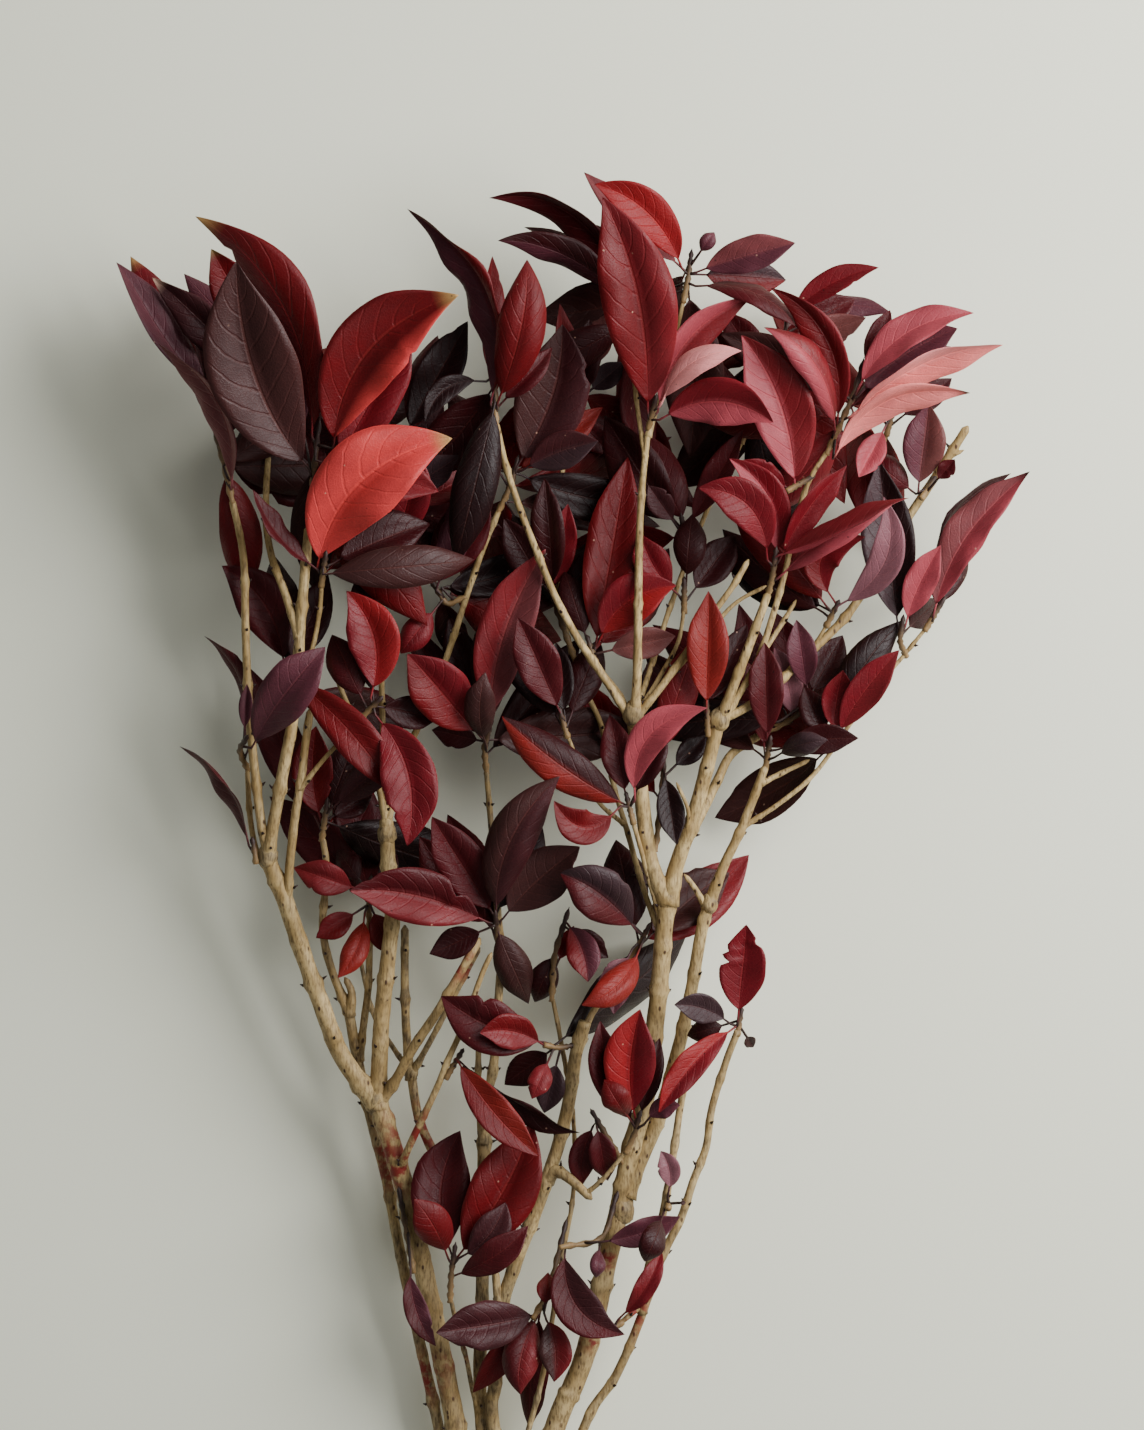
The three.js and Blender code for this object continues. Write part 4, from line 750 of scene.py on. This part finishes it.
# %% [markdown]
# ## Tones
# No two leaves of the bunch have taken the dye alike. Each leaf gets a tone by name, listed
# by the spot where its tip lies. Two names mean the left and the right half of the blade,
# since a fold catches the light on one side only; a third name is a dried tip and a fourth
# a bright right edge. A spot without a name is a dark leaf. A leaf that isn't listed lies
# deep in the bunch and draws one of the back tones.

# %% The dye tones, and which leaf has which
DYES = {
    "coral": "be3b3a", "salmon": "f0847f", "pink": "ec9694", "rose": "9a4049",
    "scarlet": "84171b", "red": "68101a", "crimson": "600a10", "brick": "781d19",
    "wine": "6c191f", "rosewood": "743a3d", "maroon": "470b12", "dusky": "3d191d",
    "umber": "3b1e1d", "mauve": "552933", "lilac": "7d5058", "taupe": "653836",
    "grey": "38262a", "dark": "2e060a", "black": "1a0608", "tan": "b8925a",
    "pale": "dcb8a0", "olive": "6f6036", "brown": "4c3020",
}
BACK_TONES = ["dark", "maroon", "crimson", "black", "crimson", "umber", "maroon", "wine"]
TONE_TABLE = """
left_peak: -166 582 umber, -56 565 crimson/crimson/tan/coral, -186 606 red/crimson/tan,
  -164 572 mauve, -80 552 red
left_coral: -59 495 coral//tan, -158 470 maroon
left_edge: -207 541 rosewood, -226 585 mauve, -221 587 red//tan, -188 546, -158 548
left_upper: -209 576 dusky//pale, -180 590 crimson//olive, -195 579 mauve, -148 572 maroon,
  -183 545 maroon
left_inner: -82 493 red, -52 554 black, -67 548 maroon, -64 513 dusky, -56 487 grey,
  -112 522 maroon
slant: -5 552 umber/dusky, 13 494 dusky/grey, -62 520, 16 512 brick
peak_middle: -84 606 mauve/crimson, -40 586 crimson, -22 584 crimson, -73 503 black, -10 540 maroon
centre_back: 9 555, -5 563 crimson, 17 558 taupe, 26 534 grey, 20 488 maroon
top_left: -41 617 maroon, -24 603, -37 594 mauve/dark, 12 604 maroon
top_right: 11 621 scarlet, 111 592 rosewood/mauve, 113 549 maroon, 6 629 rosewood,
  108 575 grey/crimson, 71 598 mauve
top_front: 15 614 crimson/wine, 90 565 rose/wine, 84 538 pink, 100 502 red/rose
right_peak: 153 581 red, 142 566 maroon, 160 559 mauve, 147 556 taupe, 76 560 maroon
right_upper: 200 558 rose, 192 550 mauve, 190 543 maroon, 214 541 pink/salmon, 99 570 crimson/wine,
  96 551 rose/wine, 159 560 maroon, 197 515 salmon//brown
right_front: 84 546 rose/wine, 84 484 red
right_rose: 178 513 mauve/taupe, 191 485 maroon, 146 488 maroon
right_small: 190 526 dusky, 143 476 rose, 168 548 maroon
far_right: 229 478 rosewood/rose/dark, 221 478, 196 448
right_edge: 184 442 rose, 153 485 grey/black, 184 416
right_curl: 155 466 lilac, 146 446 crimson/red
right_red: 62 470 red, 78 485 rose/red, 158 463 rose, 137 481 red, 166 468 wine/rose
dusky_back: 85 500 maroon, 38 472 dusky, 34 500 maroon
scarlet: 34 448 red, 82 448, 60 458
horizontal: 143 346, 96 394 maroon, 127 345 grey
right_low: 163 390 red/wine, 135 380 red, 166 405 black, 116 372
pale: 101 391 lilac, 112 405 mauve, 88 396, 136 398
red_front: 68 419 brick, 88 404
black_pair: 67 347 black, 52 293 black, 64 398 wine, 38 384
crescent: 67 361 rose, 19 357 maroon, -35 357 brick/dark, -9 315 crimson, 46 352
rose_middle: 52 422 red/scarlet, 28 487 crimson, -4 430, 52 397 taupe
middle_back: -2 463 red, -34 456, 22 446, -14 476
brick: -82 388 crimson/red, -13 440 wine/rosewood, -43 378 umber, -62 408, -70 350, -40 416
dark_middle: -27 406 maroon, -8 394 black, 14 396
crimson_back: -40 468 maroon, -46 479 mauve, -86 388 red, -82 470, -56 384
scarlet_hanging: -82 292 red, -112 419 red/scarlet, -120 398 maroon, -106 432, -66 356
dusky_low: -128 352 crimson, -83 343 dusky, -108 348, -100 318
crimson_low: -139 281 wine, -128 246 crimson/wine, -117 226 brick, -90 237 crimson, -88 288,
  -118 290
mauve_left: -122 392 mauve, -162 373 mauve, -184 397 maroon, -150 372
far_low: -195 343 maroon
behind_tall: -175 432 maroon, -122 428, -150 438
star: 4 292 umber, -111 270 wine/maroon, -6 327 umber/dusky, -70 307 maroon, -14 304 black,
  -56 312 maroon, -71 238, -60 329 grey//brown, -20 213 umber
grey: -7 279 maroon/grey, 8 276, 22 296, 13 225 lilac, 21 208 mauve, 5 213 brick
hanging: 8 224 mauve/crimson, 1 252 crimson, -19 213, 18 236
coral_front: 34 211 scarlet/red, 14 205 maroon, 16 176 crimson, 44 197, 54 163 mauve
maroon_twin: 5 121 maroon, 18 124 maroon
right_bitten: 87 253 red, 51 213 grey, 57 197, 43 159 red/scarlet, 91 191
rose_low: -65 217 maroon, -46 199 wine/crimson, -20 166 wine, -14 158 grey, -34 172
brick_low: -16 137 brick/crimson, 4 147
low_left: -20 154 crimson, -56 149 maroon, -79 116 crimson, -33 114 dusky, -22 102 maroon
low_middle: -68 49 dusky, -12 78 crimson, -26 17 wine/maroon, -9 24 wine/umber, -50 17 crimson,
  -22 -3 maroon
low_right: 26 48 dusky/maroon, 54 107 mauve, 12 76 mauve
mauve_small: 44 140 lilac, 57 114 umber, 36 84
rose_strip: 45 91 wine/red
edge_low: -68 41 mauve/maroon
"""
TONES = {shoot: [(float(x), float(y), *(words or ["dark"])) for x, y, *words in leaves]
         for shoot, leaves in rows_of(TONE_TABLE)}
TIP_REACH = 9                # millimetres; a leaf's tip lies nearer than this to its spot


def tone_of(shoot, blade, rng):
    """Left, right, tip and edge tone of a leaf as linear colours; where left and right differ, the
    halves carry painted light and shade.
    """
    x, y = unplace(blade.tip)
    apart, words = min((math.hypot(tip_x - x, tip_y - y), words)
                       for tip_x, tip_y, words in TONES[shoot])
    if apart >= TIP_REACH:
        words = rng.choice(BACK_TONES)
    names = (words.split("/") + ["", "", ""])[:4]
    left, right, tip, edge = (Vector(linear(DYES[name])) if name else None for name in names)
    return left, right or left, tip, edge


print("tones:", len(DYES), "listed leaves:", sum(len(rows) for rows in TONES.values()))

# %% [markdown]
# ## The leaf finish
# A dyed, dried leaf is leathery: satin rather than glossy, mottled where the dye sat
# unevenly, with a paler midrib, side veins that curve forward and a fine net between them.
# On the upper face rib and veins lie a little sunk, and the blade bulges between them.
# The vein pattern follows the leaf, so it is drawn on the leaf's own UV map, where one
# axis runs from base to tip and the other from edge to edge. The leaf's colour comes from the
# attribute `tone`: its dye, and on a leaf with two half tones also painted light and shade,
# one half of the fold painted lit and the other painted shaded. Its fourth number is
# different for each leaf and shifts its pattern.

# %% Leaf and stalk materials
def leaf_finish():
    leaf = Recipe("dyed leaf", 0.42, 0.24)
    where = leaf.node("TexCoord").outputs["Object"]
    flat = leaf.node("UVMap", {"uv_map": "blade"}).outputs[0]
    tone = leaf.node("Attribute", {"attribute_name": "tone"})
    own, seed = tone.outputs["Color"], tone.outputs["Alpha"]
    parts = leaf.node("SeparateXYZ", Vector=flat)
    along, across = parts.outputs[0], parts.outputs[1]
    off = leaf.maths("ABSOLUTE", leaf.maths("MULTIPLY_ADD", across, 2.0, -1.0))
    wander = leaf.maths("MULTIPLY", leaf.noise(where, 90.0, 2.0), 0.35)
    lean = leaf.maths("MULTIPLY", leaf.maths("POWER", off, 1.3), 1.9)
    step = leaf.maths("SUBTRACT", leaf.maths("MULTIPLY", along, 10.0), lean)
    right_half = leaf.maths("GREATER_THAN", across, 0.5)
    step = leaf.maths("ADD", step, leaf.maths("MULTIPLY", right_half, 0.4))
    step = leaf.maths("ADD", step, leaf.maths("ADD", wander, seed))
    phase = leaf.maths("ABSOLUTE", leaf.maths("SUBTRACT", leaf.maths("FRACT", step), 0.5))
    fade = leaf.maths("MULTIPLY", leaf.band(off, 0.75, 0.97, 1.0, 0.0),
                      leaf.band(along, 0.03, 0.12))
    veins = leaf.maths("MULTIPLY", leaf.band(phase, 0.02, 0.1, 1.0, 0.0), fade)
    rib = leaf.band(off, 0.015, 0.06, 1.0, 0.0)
    rim = leaf.band(off, 0.95, 0.995)
    net = leaf.node("TexVoronoi", {"feature": "DISTANCE_TO_EDGE"}, Vector=where,
                    Scale=620.0).outputs["Distance"]
    net = leaf.band(net, 0.02, 0.14, 1.0, 0.0)
    cloud = leaf.noise(where, 55.0, 4.0)
    fine = leaf.noise(where, 420.0, 3.0)
    dye = leaf.blend(leaf.band(cloud, 0.3, 0.72, 0.0, 0.5), own,
                     leaf.blend(1.0, own, (0.5, 0.42, 0.45, 1.0), "MULTIPLY"))
    dye = leaf.blend(leaf.band(fine, 0.5, 0.8, 0.0, 0.3), dye,
                     leaf.blend(1.0, dye, (1.45, 1.25, 1.2, 1.0), "MULTIPLY"))
    pale = leaf.blend(1.0, own, (1.8, 1.62, 1.55, 1.0), "MULTIPLY")
    pale = leaf.blend(0.06, pale, colour("d78a76"))
    for mask, share in ((veins, 0.12), (net, 0.1), (rib, 0.4), (rim, 0.3)):
        dye = leaf.blend(leaf.maths("MULTIPLY", mask, share), dye, pale)
    cells = leaf.node("TexVoronoi", Vector=where, Scale=210.0)
    pick = leaf.node("SeparateColor", Color=cells.outputs["Color"])
    spot = leaf.band(cells.outputs["Distance"], 0.06, 0.14, 1.0, 0.0)
    for lot, rarity, share, code in ((0, 0.95, 0.6, "c59a84"), (1, 0.93, 0.7, "241012")):
        rare = leaf.maths("MULTIPLY", spot, leaf.band(pick.outputs[lot], rarity, rarity + 0.01))
        dye = leaf.blend(leaf.maths("MULTIPLY", rare, share), dye, colour(code))
    leaf.feed("Base Color", dye)
    leaf.feed("Roughness", leaf.band(cloud, 0.25, 0.75, 0.38, 0.55))
    relief = leaf.bump(leaf.maths("SUBTRACT", 1.0, veins), 0.36, 0.0008)
    for height, strength, depth in ((leaf.maths("SUBTRACT", 1.0, rib), 0.5, 0.0008),
                                    (net, 0.25, 0.0003), (fine, 0.12, 0.0004)):
        relief = leaf.bump(height, strength, depth, relief)
    leaf.feed("Normal", relief)
    return leaf.material


def stalk_finish():
    stalk = Recipe("dried stalk", 0.55, 0.4)
    where = stalk.node("TexCoord").outputs["Object"]
    tone = stalk.node("Attribute", {"attribute_name": "tone"}).outputs["Color"]
    grain = stalk.noise(where, 700.0, 3.0)
    worn = stalk.blend(1.0, tone, (1.8, 1.6, 1.5, 1.0), "MULTIPLY")
    stalk.feed("Base Color", stalk.blend(stalk.band(grain, 0.45, 0.75, 0.0, 0.6), tone, worn))
    stalk.feed("Normal", stalk.bump(grain, 0.3, 0.0004))
    return stalk.material


LEAF, STALK = leaf_finish(), stalk_finish()
print("finishes:", LEAF.name, "and", STALK.name)

# %% [markdown]
# ## Growing the leaves
# A leaf starts as a flat grid again. `calc_uvs` gives the grid its UV map while it is still
# flat and even; then each corner moves to its place on the blade, the last row closes up
# into the tip, and `solidify` gives the sheet the thickness of a real leaf, so that it has
# an underside and a rim.

# %% Blades
LEAF_THICKNESS = 0.0004
TIP_WELD = 1e-6              # metres; the last row of a blade closes up into one corner
BLADE_ROOM, LEAF_STALK_ROOM, SHOOT_ROOM = 0.5 * MM, 1.2 * MM, 2.2 * MM   # over the floor
FRONT_GRID, BACK_GRID = (30, 10), (16, 6)
NICKED_SHARE = 0.3           # of the leaves have a small piece missing from an edge
BITES = {("right_bitten", 87, 253): [(0.55, 0.42, 0.035, -1), (0.68, 0.3, 0.03, -1),
                                     (0.8, 0.35, 0.03, 1)],
         ("star", -111, 270): [(0.22, 0.5, 0.05, 1)],
         ("left_peak", -56, 565): [(0.62, 0.12, 0.02, 1)],
         ("low_middle", -68, 49): [(0.7, 0.2, 0.06, -1)]}


def look_of(shoot, blade, rng):
    """What makes this leaf differ from the others, drawn at random, and its listed bites."""
    x, y = unplace(blade.tip)
    bites = next((rows for (name, bx, by), rows in BITES.items()
                  if name == shoot and math.hypot(bx - x, by - y) < 6), [])
    if rng.random() < NICKED_SHARE:
        bites = bites + [(rng.uniform(0.3, 0.9), rng.uniform(0.1, 0.28), rng.uniform(0.02, 0.035),
                          rng.choice((-1, 1)))]
    size = blade.chord.length
    return {"seed": rng.uniform(0, 60), "cup": rng.uniform(0.05, 0.24),
            "wave": rng.uniform(0.25, 1.0) * 0.024 * size, "waves": rng.uniform(1.4, 2.8),
            "phase": rng.random(), "curl": rng.uniform(-0.5, 0.35), "bites": bites}


def above_floor(point, room):
    """The point itself, or lifted so far that it clears the floor by the room given."""
    return Vector((point.x, point.y, max(point.z, room)))


def grow_blade(bm, layer, blade):
    left, right, tip, edge = blade.tones
    along_cuts, across_cuts = BACK_GRID if blade.is_back else FRONT_GRID
    made = bmesh.ops.create_grid(bm, x_segments=along_cuts, y_segments=across_cuts, size=0.5,
                                 calc_uvs=True)["verts"]
    shift = (blade.look["seed"] * 7.13) % 1
    for vert in made:
        t, across = vert.co.x + 0.5, 2 * vert.co.y
        u = mix(t, 0.5 - 0.5 * math.cos(math.pi * t), 0.5)
        # Where the left and right tones differ, this paints light and shade: one half of the fold
        # painted lit, the other painted shaded.
        dye = left.lerp(right, unit(across * 12 + 0.5))
        if edge:
            dye = dye.lerp(edge, unit((across - 0.5) * 5))
        if tip:
            dye = dye.lerp(tip, unit((u - 0.9) * 12))
        vert.co = above_floor(blade.point(u, across), BLADE_ROOM)
        vert[layer] = (*dye, shift)
    faces = list({face for vert in made for face in vert.link_faces})
    bmesh.ops.solidify(bm, geom=faces, thickness=-LEAF_THICKNESS)


def grow_leaves(shoot, blades, rng):
    bm, layer = fresh("tone")
    bm.loops.layers.uv.new("blade")
    for blade in blades:
        blade.tones = tone_of(shoot, blade, rng)
        blade.look = look_of(shoot, blade, rng)
        grow_blade(bm, layer, blade)
    bmesh.ops.remove_doubles(bm, verts=bm.verts, dist=TIP_WELD)
    made = piece_from(bm, "leaves_" + shoot, LEAF)
    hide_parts("shoot_" + shoot)
    return made


leaf_rng = random.Random(23)
leaf_faces = 0
for shoot_name, (shoot_blades, _) in CROWN.items():
    leaf_faces += len(grow_leaves(shoot_name[6:], shoot_blades, leaf_rng).data.polygons)
print("leaf faces:", leaf_faces)

# %% [markdown]
# ## Leaf stalks and midribs
# Every leaf hangs on a short dark stalk that runs on under the blade as its midrib. It is
# one thin rod, rolled up like the branches: from the shoot to the foot of the blade, and
# then a little under the fold until it fades towards the tip. The shoot's own stalk ends
# in a pointed bud.

# %% Stalks
DARK_STALK = Vector(linear("2e1c18"))
SHOOT_BROWN = Vector(linear("8a6f48"))
RIB_STEPS = [0.04, 0.1, 0.18, 0.28, 0.4, 0.52, 0.64, 0.76, 0.86]   # shares of the blade
RIB_DEPTH = 0.00012          # metres that the midrib lies under the fold
RIB_SHADE = 0.62             # the midrib is darker than its leaf
LEAF_STALK_RADII = (0.00085, 0.0006, 0.0001)   # at the shoot, at the blade, at the rib's end
SHOOT_RADII = (0.00165, 0.0012)                # at its start and at its end
BUD_FROM = 0.85              # the share of a shoot's line where its last bud starts
BACK_INTO_WOOD, BUD_LENGTH = 0.0035, 0.006


def grow_leaf_stalk(bm, layer, blade):
    line = [blade.seat, blade.seat.lerp(blade.foot, 0.5), blade.foot]
    for u in RIB_STEPS:
        share = blade.stalk + u * (1 - blade.stalk)
        face = blade.directions(share)[1]
        line.append(blade.point(u, 0.0) - face * RIB_DEPTH)
    places = [above_floor(spot, LEAF_STALK_ROOM) for spot in spline(line, 0.004)]
    reach = (blade.foot - blade.seat).length
    total = sum((b - a).length for a, b in zip(places, places[1:]))
    turn = (reach + STALK_LENGTH) / total
    rib = (blade.tones[0] + blade.tones[1]) * RIB_SHADE
    thick, slim, end = LEAF_STALK_RADII

    def radius(share, _):
        if share < turn:
            return mix(thick, slim, share / turn)
        return mix(mix(thick, slim, 1), end, (share - turn) / (1 - turn))

    def dye(share, _):
        return DARK_STALK.lerp(rib, unit((share / turn - 0.6) * 1.4))
    roll(bm, places, 6, radius, dye, layer)


def grow_shoot_stalk(bm, layer, line):
    if line[0].y > line[-1].y + 4 * MM:
        line = line[::-1]
    first, last = line[0], line[-1]
    back = (first - line[1]).normalized() * BACK_INTO_WOOD
    bud = (last - line[-2]).normalized() * BUD_LENGTH
    places = [above_floor(spot, SHOOT_ROOM)
              for spot in spline([first + back, *line, last + bud], 0.0015)]

    def radius(share, angle):
        swell = 1 + 0.25 * math.sin(share * 40) * math.cos(angle * 2)
        thick = mix(*SHOOT_RADII, share) * swell
        if share < BUD_FROM:
            return thick
        return thick * max(0.12, 1 - ((share - BUD_FROM) / (1 - BUD_FROM)) ** 2)

    def dye(share, _):
        return SHOOT_BROWN.lerp(DARK_STALK, unit(share * 1.3))
    roll(bm, places, 8, radius, dye, layer)


bm, stalk_layer = fresh("tone")
for shoot_blades, shoot_line in CROWN.values():
    grow_shoot_stalk(bm, stalk_layer, shoot_line)
    for shoot_blade in shoot_blades:
        grow_leaf_stalk(bm, stalk_layer, shoot_blade)
stalks = piece_from(bm, "leaf_stalks", STALK)
print("stalks:", len(stalks.data.polygons), "faces")

# %% [markdown]
# ## Buds on the bare wood
# Over many of the leaf scars sits a small dark bud. A five-sided cone is enough for
# something two millimetres long.

# %% Buds
BUD_SHARE = 0.5              # of the scars carry one
BUD_SIZES = (1.4, 2.8)       # millimetres long
BUD_RADII = (0.9, 0.2)       # millimetres, at its foot and at its tip
BUD_ROOM = 1.5               # a bud that would end nearer to the floor is left out
BUD_SEAT = 0.9               # the share of the wood's radius where its foot sits
bud_rng = random.Random(5)
bm, bud_layer = fresh("tone")
for here, out, reach in SCAR_PLACES:
    if bud_rng.random() > BUD_SHARE:
        continue
    long = bud_rng.uniform(*BUD_SIZES) * MM
    lean = (out + Vector((0, bud_rng.uniform(0.3, 0.9), 0))).normalized()
    if (here + out * reach + lean * long).z < BUD_ROOM * MM:
        continue
    cone = bmesh.ops.create_cone(bm, cap_ends=True, segments=5, radius1=BUD_RADII[0] * MM,
                                 radius2=BUD_RADII[1] * MM, depth=long)["verts"]
    turn = lean.to_track_quat("Z", "Y").to_matrix()
    for vert in cone:
        vert.co = here + out * reach * BUD_SEAT + turn @ (vert.co + Vector((0, 0, long / 2)))
        vert[bud_layer] = (*DARK_STALK, 1.0)
buds = piece_from(bm, "buds", STALK)
print("buds:", len(buds.data.polygons), "faces")

# %% [markdown]
# ## Table, light and camera
# The bunch lies on a pale matt floor, and we look straight down on it. One broad light low
# at the upper right stands for a window, a weak one higher up softens its shadows, and the
# world around gives the rest. The camera is far away with a long lens, as the bunch shows no
# strong perspective. Its frame ends short of the cut feet, so the stems run out of the
# lower edge.

# %% Floor, lights and camera
IMAGE_HEIGHT_MM = 715        # of the floor that the frame takes in, at the bunch's height
BUNCH_HEIGHT = 60 * MM
CAMERA_HEIGHT = 6.0          # metres, as are the numbers of the floor and the lamps
SENSOR = 36.0                # millimetres
FLOOR_SIZE = 3.0
LAMP_TARGET = Vector((0, 0.1, 0))
ROOM_COLOUR, ROOM_STRENGTH = (0.86, 0.88, 0.86, 1), 0.22

floor_paint = Recipe("pale floor", 0.9, 0.2)
floor_paint.shader.inputs["Base Color"].default_value = colour("f0f1dd")
bm = bmesh.new()
bmesh.ops.create_grid(bm, x_segments=1, y_segments=1, size=FLOOR_SIZE)
floor = object_from(bm, "floor", floor_paint.material)


def soft_light(name, where, size, power):
    """A square lamp of that size in metres and power in watts, turned to the bunch."""
    lamp = bpy.data.lights.new(name, "AREA")
    lamp.shape, lamp.size, lamp.energy = "SQUARE", size, power
    made = in_scene(name, lamp)
    made.location = where
    made.rotation_euler = (LAMP_TARGET - made.location).to_track_quat("-Z", "Y").to_euler()


soft_light("window", (1.05, 0.62, 0.98), 1.2, 48)
soft_light("overhead", (0.9, 0.2, 1.9), 1.6, 9)
world = bpy.data.worlds.new("room")
world.use_nodes = True
room = world.node_tree.nodes["Background"]
room.inputs["Color"].default_value = ROOM_COLOUR
room.inputs["Strength"].default_value = ROOM_STRENGTH
bpy.context.scene.world = world

eye = bpy.data.cameras.new("camera")
eye.sensor_width = SENSOR
eye.lens = SENSOR * (CAMERA_HEIGHT - BUNCH_HEIGHT) / (IMAGE_HEIGHT_MM * MM)
eye.clip_end = 50
camera = in_scene("camera", eye)
aim = place([0, IMAGE_HEIGHT_MM / 2, 0])
camera.location = (aim.x, aim.y, CAMERA_HEIGHT)
bpy.context.scene.camera = camera
print("lens:", round(eye.lens, 1), "mm")
